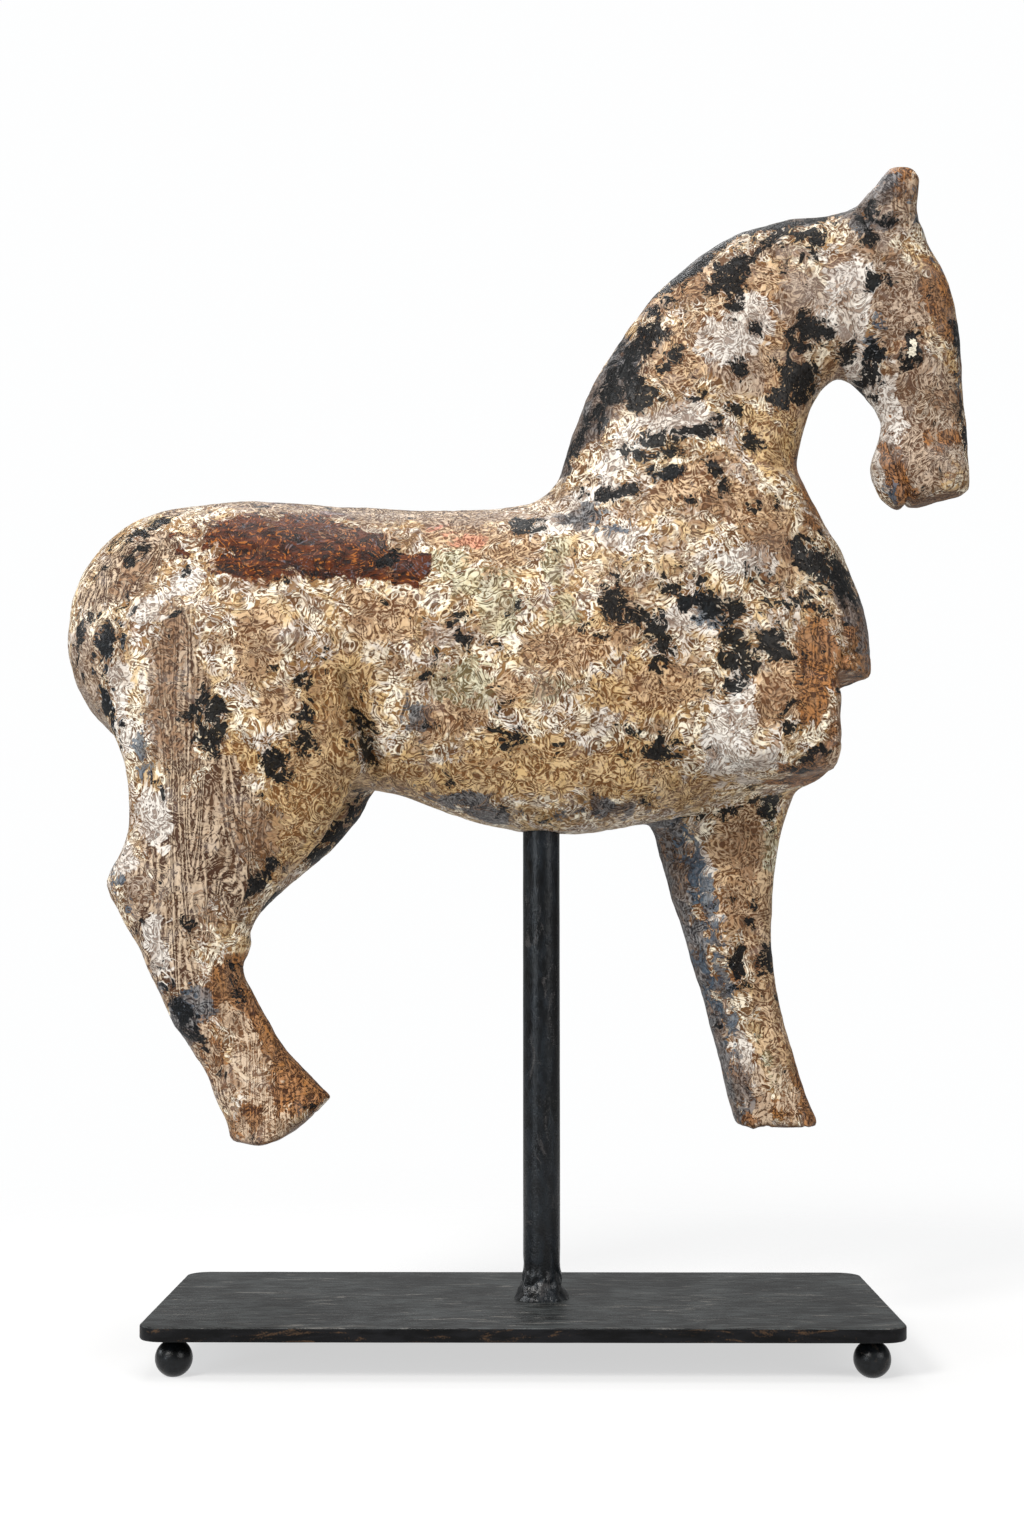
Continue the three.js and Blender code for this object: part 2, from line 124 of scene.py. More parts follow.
def end_finish(place, height, depth, looks):
    """Closes a finish: height is its relief from 0 to 1, depth what 1 stands for in metres, and looks the
    shader's other values."""
    relief = place.node("ShaderNodeBump", {}, {
        "Strength": 1.0, "Distance": depth, "Height": height}, "Normal")
    shader = place.node("ShaderNodeBsdfPrincipled", {}, dict(looks, Normal=relief), "BSDF")
    place.node("ShaderNodeOutputMaterial", {}, {"Surface": shader})


def blackened_steel(name, body, lift, worn, streaks, roughness, shine, relief):
    """Hot-blackened and waxed steel: its body colour, that colour times lift along the streaks, and the worn
    colour where it is rubbed."""
    finish, place = start_finish(name)
    drift = place.stretch(*streaks).cloud(260, detail=4, twist=0.3)
    bloom = place.cloud(38, detail=3, twist=0.4)
    pits = place.cloud(1400, detail=2)
    rubbed = (place.stretch(*streaks).cloud(150, detail=4, twist=1.2) + 0.3 * pits).ease(0.74, 0.86)
    lifted = tuple(lift * part for part in body[:3]) + (1.0,)
    colour = (0.75 * drift + 0.4 * bloom).ease(0.46, 0.74).blend(body, lifted)
    colour = rubbed.blend(colour, worn)
    height = 0.5 * drift + 0.25 * pits + 0.4 * bloom
    end_finish(place, height, relief, {
        "Base Color": colour,
        "Roughness": roughness + 0.3 * (drift - 0.5) + 0.16 * rubbed,
        "Specular IOR Level": shine,
    })
    return finish


def lathe(name, profile, sides, wobble=None):
    """A turned solid from (radius, height) steps, closed at both ends. Wobble moves a point, given its angle,
    step, radius and height."""
    shape = bmesh.new()
    rings = []
    for step, (radius, height) in enumerate(profile):
        ring = []
        for side in range(sides):
            angle = 2 * pi * side / sides
            out, up = wobble(angle, step, radius, height) if wobble else (radius, height)
            ring.append(shape.verts.new((out * cos(angle), out * sin(angle), up)))
        rings.append(ring)
    for lower, upper in zip(rings, rings[1:]):
        for side in range(sides):
            after = (side + 1) % sides
            shape.faces.new((lower[side], lower[after], upper[after], upper[side]))
    shape.faces.new(list(reversed(rings[0])))
    shape.faces.new(rings[-1])
    mesh = bpy.data.meshes.new(name)
    shape.to_mesh(mesh)
    shape.free()
    mesh.shade_smooth()
    mesh.set_sharp_from_angle(angle=radians(40))
    piece = bpy.data.objects.new(name, mesh)
    bpy.context.scene.collection.objects.link(piece)
    return piece


floor_flat = 0.0025
weld_flat = 0.0018
collar_lip = 0.0009
collar_lumps = (0.0007, 0.0005, 0.0002)
surface_lumps = 0.00004
ball_rings, ball_sides = 34, 64
ball_steel = blackened_steel(
    "ball_steel", body=tint(14, 15, 16), lift=4.5, worn=tint(50, 45, 41), streaks=(1, 1, 1),
    roughness=0.30, shine=0.22, relief=0.0003)
for foot in ("foot_front_left", "foot_front_right", "foot_back_left", "foot_back_right"):
    low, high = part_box(foot)
    middle = ((low[0] + high[0]) / 2, (low[1] + high[1]) / 2, 0)
    radius = (high[0] - low[0]) / 2
    first, last = np.arcsin(floor_flat / radius), pi - np.arcsin(weld_flat / radius)
    centre = low[2] + radius * cos(first)
    turns = np.linspace(first, last, ball_rings)
    steps = [(radius * sin(turn), centre - radius * cos(turn)) for turn in turns]
    steps.insert(0, (steps[0][0] * 0.5, low[2]))
    steps[-1] = (steps[-1][0] + collar_lip, high[2])
    seed = Vector((middle[0] * 40, middle[1] * 40, 0))

    def weld_collar(angle, step, out, up, seed=seed, last=len(steps) - 1):
        """The lumps of the weld on the top three rings, and a trace of them on the rest of the ball."""
        lump = noise.noise(seed + 3 * Vector((cos(angle), sin(angle), step * 0.4)))
        below = last - step
        reach = collar_lumps[below] if below < len(collar_lumps) else surface_lumps
        return out + reach * (1 + lump), up

    ball = lathe("ball_" + foot, steps, ball_sides, weld_collar)
    ball.data.transform(Matrix.Translation(middle))
    ball.data.materials.append(ball_steel)
    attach(ball, "root")
    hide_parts(foot)


# The base plate: flat bar about 6 mm thick with its corners sawn round and its edges filed. It is blackened
# by heat, hammered nearly flat and wiped with wax along its length.
low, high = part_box("base_plate")
corner_radius = 0.011
edge_round = 0.0009
edge_nicks = 0.00022
hammering = 0.00011
cut_spacing = 0.0035
corner_cuts = 10


def plate_point(across, along, inset):
    """A point of the rounded rectangle, from -1 to 1 each way, with its outline moved in by inset."""
    half_x, half_y, bend = high[0] - inset, high[1] - inset, corner_radius - inset
    x, y = across * half_x, along * half_y
    over_x, over_y = abs(x) - (half_x - bend), abs(y) - (half_y - bend)
    if over_x > 0 and over_y > 0:
        reach = max(over_x, over_y) / hypot(over_x, over_y)
        x = (half_x - bend + over_x * reach) * (1 if x > 0 else -1)
        y = (half_y - bend + over_y * reach) * (1 if y > 0 else -1)
    return x, y


def cuts(half, spacing):
    """Places from -1 to 1 across a side of the plate, closer together at its corners."""
    inner = 1 - 1.2 * corner_radius / half
    corner = list(np.linspace(inner, 1, corner_cuts)[1:])
    middle = list(np.linspace(-inner, inner, int(2 * half * inner / spacing)))
    return [-place for place in reversed(corner)] + middle + corner


plate = bmesh.new()
cuts_x, cuts_y = cuts(high[0], cut_spacing), cuts(high[1], cut_spacing)
sheets = []
for level, side in ((high[2], 1), (low[2], -1)):
    rows = []
    for along in cuts_y:
        row = []
        for across in cuts_x:
            x, y = plate_point(across, along, edge_round)
            dent = hammering * (noise.noise(Vector((x * 45, y * 150, 3 * side))) - 0.5)
            row.append(plate.verts.new((x, y, level + side * dent)))
        rows.append(row)
    for lower, upper in zip(rows, rows[1:]):
        for left in range(len(cuts_x) - 1):
            corners = (lower[left], lower[left + 1], upper[left + 1], upper[left])
            plate.faces.new(corners if side > 0 else tuple(reversed(corners)))
    sheets.append(rows)


def rim(rows):
    """The outline of a sheet of points, in turn."""
    bottom, top = rows[0], list(reversed(rows[-1]))
    right = [row[-1] for row in rows[1:-1]]
    left = [row[0] for row in reversed(rows[1:-1])]
    return bottom + right + top + left


rim_cuts = ([(x, -1) for x in cuts_x] + [(1, y) for y in cuts_y[1:-1]]
            + [(x, 1) for x in reversed(cuts_x)] + [(-1, y) for y in reversed(cuts_y[1:-1])])
rings = [rim(sheets[0])]
top_bends = [(turn, high[2], -1) for turn in (30, 60, 90)]
bottom_bends = [(turn, low[2], 1) for turn in (90, 60, 30)]
for turn, sheet_level, inward in top_bends + bottom_bends:
    inset = edge_round * (1 - sin(radians(turn)))
    level = sheet_level + inward * edge_round * (1 - cos(radians(turn)))
    ring = []
    for across, along in rim_cuts:
        nick = edge_nicks * max(0, noise.noise(Vector((across * 30, along * 14, level * 300))))
        x, y = plate_point(across, along, inset + nick)
        ring.append(plate.verts.new((x, y, level)))
    rings.append(ring)
rings.append(rim(sheets[1]))
for upper, lower in zip(rings, rings[1:]):
    for here in range(len(rim_cuts)):
        after = (here + 1) % len(rim_cuts)
        plate.faces.new((upper[here], lower[here], lower[after], upper[after]))
mesh = bpy.data.meshes.new("stand_plate")
plate.to_mesh(mesh)
plate.free()
mesh.shade_smooth()
stand_plate = bpy.data.objects.new("stand_plate", mesh)
bpy.context.scene.collection.objects.link(stand_plate)
# Two copies of the same steel: the first, lighter and with brighter streaks, goes on the top faces as painted
# light; the second, darker, goes on the edge and bottom faces as painted shade.
stand_plate.data.materials.append(blackened_steel(
    "plate_steel", body=tint(20, 21, 21), lift=13, worn=tint(104, 102, 98), streaks=(0.3, 1.3, 1),
    roughness=0.36, shine=0.36, relief=0.0010))
stand_plate.data.materials.append(blackened_steel(
    "plate_edge_steel_and_shade", body=tint(12, 12, 13), lift=5, worn=tint(70, 54, 40), streaks=(0.3, 1, 1.5),
    roughness=0.5, shine=0.14, relief=0.0004))
for face in mesh.polygons:
    face.material_index = 1 if face.normal.z < 0.5 else 0
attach(stand_plate, "root")
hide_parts("base_plate")


# The rod: round steel bar, run into the horse's belly at the top and welded to the plate at its foot. The
# weld is a crumpled collar, ground back a little and blackened over.
low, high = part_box("rod")
rod_middle = (high[0] + low[0]) / 2
rod_radius = 0.00855
weld_radius = (high[0] - low[0]) / 2
weld_height = 0.014
weld_hollow = 2.3
weld_rings, bar_rings, rod_sides = 24, 60, 96
end_round = 0.0012
steps = [(weld_radius, low[2])]
for share in np.linspace(0.04, 1, weld_rings):
    flare = (weld_radius - rod_radius) * (1 - share) ** weld_hollow
    steps.append((rod_radius + flare, low[2] + weld_height * share))
top = high[2]
for height in np.linspace(low[2] + weld_height + 0.002, top - end_round, bar_rings):
    steps.append((rod_radius, height))
steps += [(rod_radius - end_round / 4, top - end_round / 3), (rod_radius - end_round, top)]


def weld_lumps(angle, step, out, up):
    """The weld's beads and spatter, then the slight waviness of drawn bar."""
    spot = Vector((cos(angle), sin(angle), (up - low[2]) * 110))
    share = min(1, (up - low[2]) / (weld_height * 1.5))
    lump = 0.0013 * noise.noise(spot * 2.1) + 0.0005 * noise.noise(spot * 4.3)
    wave = 0.00005 * noise.noise(Vector((cos(angle) * 2, sin(angle) * 2, up * 60)))
    lumped = out + lump * (1 - share) ** 0.7 + wave
    return min(lumped, weld_radius + 0.0001), up


rod = lathe("stand_rod", steps, rod_sides, weld_lumps)
rod.data.transform(Matrix.Translation((rod_middle, (high[1] + low[1]) / 2, 0)))
rod.data.materials.append(blackened_steel(
    "rod_steel", body=tint(12, 14, 16), lift=6, worn=tint(56, 54, 54), streaks=(1, 1, 0.4),
    roughness=0.25, shine=0.34, relief=0.0007))
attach(rod, "root")
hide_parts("rod")


# The horse: one block of wood carved with gouge and knife, the near foreleg lost and the muzzle and hoofs
# sawn off flat. Many coats of oil paint have flaked, been rubbed back and waxed.
MM = 0.001
horse_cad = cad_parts["horse"]
hole_radius = 0.0089
mesh_size = 0.00212


def carve_block():
    """The horse's form as a close even mesh, without its solid's facets or the hole for the rod."""
    block = bmesh.new()
    block.from_mesh(horse_cad.data)
    bmesh.ops.remove_doubles(block, verts=block.verts, dist=1e-6)
    inside = []
    for face in block.faces:
        if all(hypot(v.co.x - rod_middle, v.co.y) < hole_radius for v in face.verts):
            inside.append(face)
    bmesh.ops.delete(block, geom=inside, context="FACES")
    loose = [v for v in block.verts if not v.link_faces]
    bmesh.ops.delete(block, geom=loose, context="VERTS")
    bmesh.ops.holes_fill(block, edges=[e for e in block.edges if e.is_boundary], sides=0)
    bmesh.ops.triangulate(block, faces=[f for f in block.faces if len(f.verts) > 4])
    bmesh.ops.join_triangles(block, faces=block.faces, angle_face_threshold=radians(35),
                             angle_shape_threshold=radians(50))
    mesh = bpy.data.meshes.new("block")
    block.to_mesh(mesh)
    block.free()
    holder = bpy.data.objects.new("block", mesh)
    bpy.context.scene.collection.objects.link(holder)
    rounding = holder.modifiers.new("rounding", "SUBSURF")
    rounding.levels = rounding.render_levels = 2
    evening = holder.modifiers.new("evening", "REMESH")
    evening.mode = "VOXEL"
    evening.voxel_size = mesh_size
    softening = holder.modifiers.new("softening", "SMOOTH")
    softening.factor = 0.5
    softening.iterations = 5
    drawn = holder.evaluated_get(bpy.context.evaluated_depsgraph_get())
    smooth = bpy.data.meshes.new_from_object(drawn)
    bpy.data.objects.remove(holder)
    return smooth


def read_points(mesh, what):
    """The mesh's points, or the directions that they face, as rows of three."""
    flat = np.empty(len(mesh.vertices) * 3)
    mesh.vertices.foreach_get(what, flat)
    return flat.reshape(-1, 3)


def ease(value, low, high):
    """0 below low and 1 above high, with a soft turn between."""
    share = np.clip((value - low) / (high - low), 0, 1)
    return share * share * (3 - 2 * share)


def mottle(points, size, seed=0.0):
    """A smooth mottle from about -1 to 1, with blotches of this size in millimetres."""
    shift = Vector((seed * 17.3, seed * 5.1, seed * 9.7))
    return np.array([noise.noise(Vector(point) / size + shift) for point in points])


def run_along(points, path):
    """Distance in millimetres from a path drawn in side view."""
    nearest = np.full(len(points), 1e3)
    spots = points[:, (0, 2)]
    for start, end in zip(path, path[1:]):
        start, end = np.array(start, float), np.array(end, float)
        line = end - start
        share = np.clip((spots - start) @ line / (line @ line), 0, 1)
        nearest = np.minimum(nearest, np.hypot(*(spots - start - share[:, None] * line).T))
    return nearest


# Cuts and ridges in side view, in millimetres: a path, its width, how far it stands out, or is cut in where
# that is below 0, and the range across the horse where it is. The near side has y below 0.
tool_marks = {
    "near flank fold": ([(-80, 305), (-75, 289), (-69, 277), (-65, 266)], 3.0, -5.2, (-80, -20)),
    "swell behind the near fold": ([(-84, 302), (-79, 287), (-75, 272)], 4.0, 1.2, (-80, -20)),
    "far flank fold": ([(-80, 303), (-75, 289), (-69, 277), (-65, 268)], 3.2, -3.0, (20, 80)),
    "mouth": ([(172, 416), (174, 408), (177, 399), (182, 389)], 1.7, -3.4, (-60, 60)),
    "lip": ([(176, 416), (179, 406), (183, 397)], 3.0, 0.9, (-60, 60)),
    "crease behind the stump": ([(82, 296), (83, 278), (89, 267), (99, 261)], 2.2, -1.6, (-70, -10)),
    "edge of the stump": ([(89, 296), (90, 281), (95, 273), (103, 268)], 4.0, 1.3, (-70, -10)),
    "nostril": ([(193, 408), (197, 404), (195, 400), (191, 402), (192, 406)], 1.3, -0.8, (-60, 60)),
    "upper eyelid": ([(176, 466), (182, 469), (187, 466)], 1.6, -0.9, (-60, 60)),
    "lower eyelid": ([(176, 455), (181, 452), (186, 454)], 1.5, -0.8, (-60, 60)),
    "eyeball": ([(181, 461), (182, 460)], 4.5, 1.3, (-60, 60)),
    "ledge of the break": ([(147, 316), (153, 319), (160, 319)], 1.5, -1.7, (-70, 20)),
    "upright edge of the break": ([(149, 343), (147, 330), (146, 318), (145, 306)], 1.6, -1.3, (-70, 20)),
    "point of the hock": ([(-126, 186), (-125, 181)], 3.6, 2.6, (-60, 5)),
    "hollow above the hock": ([(-136, 203), (-134, 192)], 5.0, -0.8, (-60, 5)),
    "ridge down the foreleg": (
        [(67, 258), (76, 214), (84, 186), (91, 154), (100, 122), (111, 92)], 1.4, 0.9, (0, 26)),
    "split down the hind leg": ([(-133, 152), (-124, 128), (-112, 108)], 1.2, -0.7, (-60, 5)),
    "second split down the hind leg": ([(-122, 156), (-110, 132), (-99, 114)], 1.1, -0.6, (-60, 5)),
    "split above the hind hoof": ([(-118, 122), (-104, 104)], 1.0, -0.9, (-60, 5)),
    "second split above the hind hoof": ([(-110, 124), (-94, 110)], 1.0, -0.8, (-60, 5)),
    "split down the foreleg": ([(104, 140), (109, 118), (116, 96)], 1.0, -0.7, (0, 60)),
    "second split down the foreleg": ([(121, 132), (127, 112), (133, 98)], 1.0, -0.7, (0, 60)),
    "split in the stump": ([(137, 300), (138, 284), (138, 268)], 1.0, -0.8, (-70, 20)),
    "second split in the stump": ([(141, 296), (142, 276)], 0.9, -0.6, (-70, 20)),
    "root of the ear": ([(158, 528), (163, 520), (170, 517), (178, 520)], 2.0, -0.9, (-60, 60)),
    "nick in the side": ([(17, 359), (17, 350), (16, 340)], 0.9, -0.7, (-80, -10)),
    "nick in the shoulder": ([(89, 391), (91, 384), (93, 377)], 0.9, -0.9, (-80, -5)),
    "ridge of the shoulder": ([(84, 402), (97, 400), (110, 393)], 1.4, 0.8, (-80, -5)),
    "dent in the loin": ([(-59, 322), (-52, 326), (-46, 318)], 2.2, -0.8, (-80, -10)),
}


def refine(mesh):
    """Halves the mesh beside the tool marks, so that they come out crisp."""
    spots = read_points(mesh, "co") / MM
    wanted = np.zeros(len(spots), bool)
    for path, width, height, (start, end) in tool_marks.values():
        close = run_along(spots, path) < width + 2.5
        wanted |= close & (spots[:, 1] > start - 3) & (spots[:, 1] < end + 3)
    block = bmesh.new()
    block.from_mesh(mesh)
    chosen = [edge for edge in block.edges if all(wanted[v.index] for v in edge.verts)]
    bmesh.ops.subdivide_edges(block, edges=chosen, cuts=1, use_grid_fill=True, smooth=0.6)
    block.to_mesh(mesh)
    block.free()


horse_mesh = carve_block()
refine(horse_mesh)
points = read_points(horse_mesh, "co") / MM
facing = read_points(horse_mesh, "normal")
# The gouge leaves soft hollows and the knife finer ones, drawn out along the upright grain.
rise = 0.55 * mottle(points, 22, 1) + 0.28 * mottle(points, 9, 2) + 0.2 * mottle(points, 4.2, 3)
rise += 0.16 * mottle(points * (1, 1, 0.2), 2.6, 4)
for path, width, height, (start, end) in tool_marks.values():
    within = ease(points[:, 1], start - 2, start + 2) * (1 - ease(points[:, 1], end - 2, end + 2))
    rise += height * within * np.exp(-(run_along(points, path) / width) ** 2)
# Nothing is carved where the rod goes in.
at_rod = 1 - ease(np.hypot(points[:, 0] - rod_middle / MM, points[:, 1]), 10, 16)
rise *= 1 - at_rod * (points[:, 2] < 262)
points += facing * rise[:, None]
horse_mesh.vertices.foreach_set("co", (points * MM).ravel())

drill = lathe("drill", [(hole_radius, 0.2), (hole_radius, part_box("rod")[1][2] + 0.0006)], 64)
drill.data.transform(Matrix.Translation((rod_middle, 0, 0)))
horse = bpy.data.objects.new("carved_horse", horse_mesh)
bpy.context.scene.collection.objects.link(horse)
boring = horse.modifiers.new("boring", "BOOLEAN")
boring.object = drill
boring.operation = "DIFFERENCE"
boring.solver = "EXACT"
drawn = horse.evaluated_get(bpy.context.evaluated_depsgraph_get())
horse_mesh = bpy.data.meshes.new_from_object(drawn)
horse.modifiers.clear()
horse.data = horse_mesh
horse_mesh.name = "carved_horse"
bpy.data.objects.remove(drill)
horse_mesh.shade_smooth()

points = read_points(horse_mesh, "co") / MM
facing = read_points(horse_mesh, "normal")

# Blots of colour in side view: middle across and up, half width, half height and turn in degrees of each
# blot, in millimetres. The near side is the one with the lost foreleg. Most are where the paint has gone down
# to an older coat;
# some black blots are painted shade, some pale ones painted highlights, and the ochre under the belly is
# partly painted shade, as noted at them.
near_black_paint_and_shade = [
    (80, 503, 22, 3.5, 38), (117, 523, 27, 3, 10), (42, 445, 3.5, 30, -32), (-175, 374, 7.5, 2.5, 25),
    (-175, 366, 2.5, 1.5, 0), (-180, 361, 1.5, 2.5, 0), (-204, 324, 2, 6.5, -15), (-197, 333, 3, 3.5, 0),
    (-188, 321, 4, 7.5, -10), (-145, 291, 6, 4.5, 0), (-138, 288, 6, 6, 0), (-140, 277, 5.5, 6, 0),
    (-111, 266, 4, 4.5, 0), (-108, 260, 2, 3.5, 0), (-99, 304, 2, 2, 0), (-98, 288, 2.5, 4, 0),
    # The last two blots on the next line are painted shade in the near flank fold.
    (-98, 275, 3.5, 6, 0), (-102, 275, 2, 2.5, 0), (-75, 286, 2, 6.5, -10), (-70, 275, 3.5, 5.5, -10),
    (-60, 360, 4, 2.5, 0), (45, 392, 7, 2.5, 10), (2, 377, 4, 2.5, 0), (-29, 332, 3, 2, 0),
    (-27, 322, 2, 3.5, 30), (-39, 314, 1.5, 2.5, -10), (-2, 337, 2, 3.5, -20), (43, 350, 2.5, 2.5, 0),
    (41, 338, 4, 7.5, 20), (53, 332, 8, 3.5, -15), (57, 326, 3.5, 6, 10), (58, 318, 2, 3.5, 0),
    (65, 317, 2, 5.5, 0), (79, 351, 2, 2, 0), (62, 271, 8.5, 3, 0), (63, 276, 2, 3, 0),
    (49, 281, 3.5, 1.5, -25), (-2, 281, 3, 2.5, 0), (-9, 279, 1.5, 4.5, 20), (-8, 275, 2, 2, 0),
    (63, 482, 3.5, 3, 35), (59, 469, 6.5, 5.5, 30), (52, 461, 6.5, 6.5, 0), (46, 451, 6.5, 6.5, 0),
    (42, 441, 4.5, 6.5, 0), (36, 430, 3.5, 5.5, 0), (56, 436, 7, 5, 30), (50, 444, 5.5, 4.5, 0),
    (71, 457, 3.5, 3, 0), (66, 451, 2, 2, 0), (99, 502, 10, 5, 25), (94, 492, 7.5, 6, 0),
    (97, 482, 3.5, 4, 0), (126, 518, 15, 2.5, 12), (138, 514, 3, 4, -20), (133, 507, 4.5, 3, 0),
    (134, 470, 9, 6, -20), (129, 463, 4.5, 5.5, 0), (129, 448, 8.5, 9, 0), (119, 438, 6.5, 5.5, 30),
    (151, 461, 4, 4, 0), (110, 471, 2, 2, 0), (100, 449, 2.5, 3.5, 0), (96, 430, 2.5, 1.5, 0),
    (105, 416, 3.5, 3, -30), (80, 420, 6.5, 2.5, 5), (61, 416, 6.5, 2.5, 15), (58, 410, 7, 2, 0),
    (66, 400, 5, 2.5, 0), (88, 400, 4.5, 3, -50), (91, 394, 2, 3.5, 0), (162, 526, 4, 3, 0),
    (170, 523, 5, 2.5, 0), (163, 517, 2, 2, 0), (164, 514, 2, 1.5, 0), (162.5, 453, 4, 11, -12),
    (180.6, 460.6, 3.4, 6.6, 0), (204.5, 466, 1.8, 9, 3), (207, 427, 1.5, 7, 0), (145, 354, 6, 13, 25),
    (135, 358, 7, 10, 20), (126, 365, 4.5, 5.5, 20), (108, 347, 5.5, 2.5, -40), (126, 341, 5, 1.5, 15),
    (137, 336, 2, 2, 0), (68, 344, 4.5, 3, -20), (75, 338, 6, 3.5, -25), (85, 336, 7, 5, -35),
    (95, 335, 4.5, 6, 0), (95, 322, 5, 8, 0), (100, 310, 5, 5, 0), (92, 314, 4, 4, 0),
    (113, 318, 6, 4.5, 0), (122, 314, 2.5, 2, 0), (117, 325, 2, 2, 0), (92, 299, 3, 2, 0),
    (118, 291, 2, 2, 0), (121, 282, 3, 2, 35), (127, 267, 5.5, 2, 35), (-117, 214, 3, 6, -40),
    (-113, 222, 3, 2.5, 0), (-148, 196, 2, 1.5, 0), (-153, 156, 3.5, 11, 25), (-147, 145, 2.5, 6.5, 30),
    (-127, 165, 1, 4, 15), (-188, 294, 2.5, 7.5, 10),
]
far_black_paint_and_shade = [
    (80, 503, 22, 3.5, 38), (117, 523, 27, 3, 10), (42, 445, 3.5, 30, -32), (55, 470, 8, 6, 30),
    (67, 482, 7, 5, 35), (42, 441, 6, 9, 20), (84, 497, 9, 4, 30), (114, 512, 12, 3, 10),
    (92, 455, 10, 7, -30), (110, 430, 6, 9, 10), (75, 430, 7, 5, 0), (128, 478, 6, 8, 0),
    (118, 500, 5, 4, 0), (138, 455, 7, 6, 0), (105, 375, 9, 6, 40), (120, 352, 6, 9, 0),
    (90, 340, 12, 6, -20), (72, 352, 5, 7, 0), (60, 302, 9, 5, 15), (96, 300, 6, 4, 0),
    (132, 330, 5, 8, 10), (20, 345, 10, 5, 0), (6, 331, 4, 6, 20), (-20, 302, 8, 5, -15),
    (-45, 332, 5, 8, 0), (-56, 346, 4, 3, 0), (12, 281, 7, 3, 0), (40, 262, 8, 3, 0), (-30, 266, 9, 3, 10),
    (-95, 330, 9, 7, 20), (-110, 312, 6, 9, 0), (-130, 352, 8, 4, 30), (-160, 336, 6, 9, -10),
    (-188, 318, 4, 9, -10), (-150, 290, 7, 10, 0), (-120, 272, 6, 5, 0), (-95, 285, 7, 9, 0),
    # The first blot on the next line is painted shade in the far flank fold.
    (-70, 275, 3.5, 6, -10), (-79, 247, 4, 8, -40), (-89, 236, 5, 7, -40), (-99, 226, 5, 5, -40),
    (-120, 205, 6, 9, 10), (-152, 150, 4, 10, 20), (163, 451, 3, 7, -10), (179, 466, 3, 3, 0),
    # The last blot on the next line and the first three on the line after are painted shade on the top of the
    # far foreleg, under the stump.
    (183, 459, 2.5, 5, 0), (170, 500, 5, 8, 0), (150, 430, 6, 5, 0), (93, 252, 8, 6, 0),
    (103, 257, 15, 5, 15), (116, 253, 4, 8.5, 0), (84, 247, 5, 4, 0), (102, 175, 3.5, 7.5, 0),
    (112, 177, 4.5, 4.5, 0), (30, 386, 8, 3, 5), (-60, 372, 10, 3, 0),
]
near_blue = [
    (188, 521, 2, 7, 20), (-188, 319, 4.5, 8, -10), (-188, 294, 3.5, 8.5, 10), (-170, 274, 4.5, 7.5, 0),
    (163, 463, 3.5, 11, -10), (40, 374, 4, 2, 0), (82, 334, 10, 5.5, -30), (66, 400, 5.5, 2.5, 0),
    (-181, 214, 3, 8, 10), (170, 393, 3.5, 4, 0), (-153, 160, 4.5, 9, 25),
]
far_blue = [
    (80, 223, 4, 14, 15), (86, 203, 4, 14, 12), (93, 166, 6, 14, 10), (97, 151, 5, 10, 10),
    (91, 182, 3, 9.5, 10), (84, 177, 5.5, 4.5, 0), (-186, 300, 5, 12, 5), (60, 340, 9, 5, -20),
    (165, 470, 4, 9, 0), (-30, 350, 8, 4, 0), (20, 300, 6, 5, 0),
]
near_brown = [
    (50, 353, 6, 4.5, 0), (67, 363, 9, 9, 0), (76, 377, 8, 9, 0), (87, 384, 10, 7, 0),
    (6, 317, 9, 4.5, -10), (19, 300, 15.5, 3.5, -10), (75, 310, 9, 4, 10), (61, 281, 6.5, 3.5, 10),
    (76, 410, 6.5, 4.5, -20), (97, 402, 12.5, 3.5, -25), (80, 491, 10, 7.5, 35), (105, 497, 3.5, 6.5, 0),
    (-158, 317, 9, 20, 0), (-160, 285, 9, 22, 0), (-181, 322, 5.5, 8, 0), (130, 375, 4, 5.5, 0),
    (112, 365, 11, 10, 0), (-57, 310, 4, 10, 15), (190, 488, 5.5, 10, 15), (175, 508, 3, 10, 0),
    (197, 438, 7.5, 6.5, 0), (-178, 352, 13.5, 6.5, 40), (-119, 232, 13.5, 15.5, 0), (-99, 317, 3.5, 9, 0),
    (112, 294, 8, 9, 0), (-73, 331, 5.5, 4.5, 0), (-42, 322, 4, 6, 0), (-133, 321, 6, 5.5, 0),
]
far_brown = [
    (105, 229, 6.5, 14, 0), (100, 192, 4.5, 19, 0), (107, 159, 5.5, 11.5, 0), (70, 370, 14, 9, 0),
    (30, 320, 12, 8, 20), (-10, 340, 10, 12, 0), (100, 400, 12, 6, -25), (-75, 345, 16, 9, 0),
    (-150, 320, 14, 18, 0), (-125, 240, 12, 16, 0), (80, 460, 12, 10, 20), (120, 390, 8, 12, 0),
    (150, 490, 8, 10, 0), (190, 430, 10, 12, 0), (-40, 285, 14, 6, 0), (60, 280, 12, 6, 10),
    (110, 300, 10, 9, 0),
]
near_rust = [
    (-104, 368, 43, 15, -2), (-121, 356, 20, 9, 0), (-78, 361, 27, 10, -8), (-131, 374, 15, 8, 10),
    (-58, 356, 16, 8, -8),
]
far_rust = [
    (-106, 374, 30, 8, -2), (-128, 378, 12, 5, 10), (-40, 360, 12, 5, 0),
]

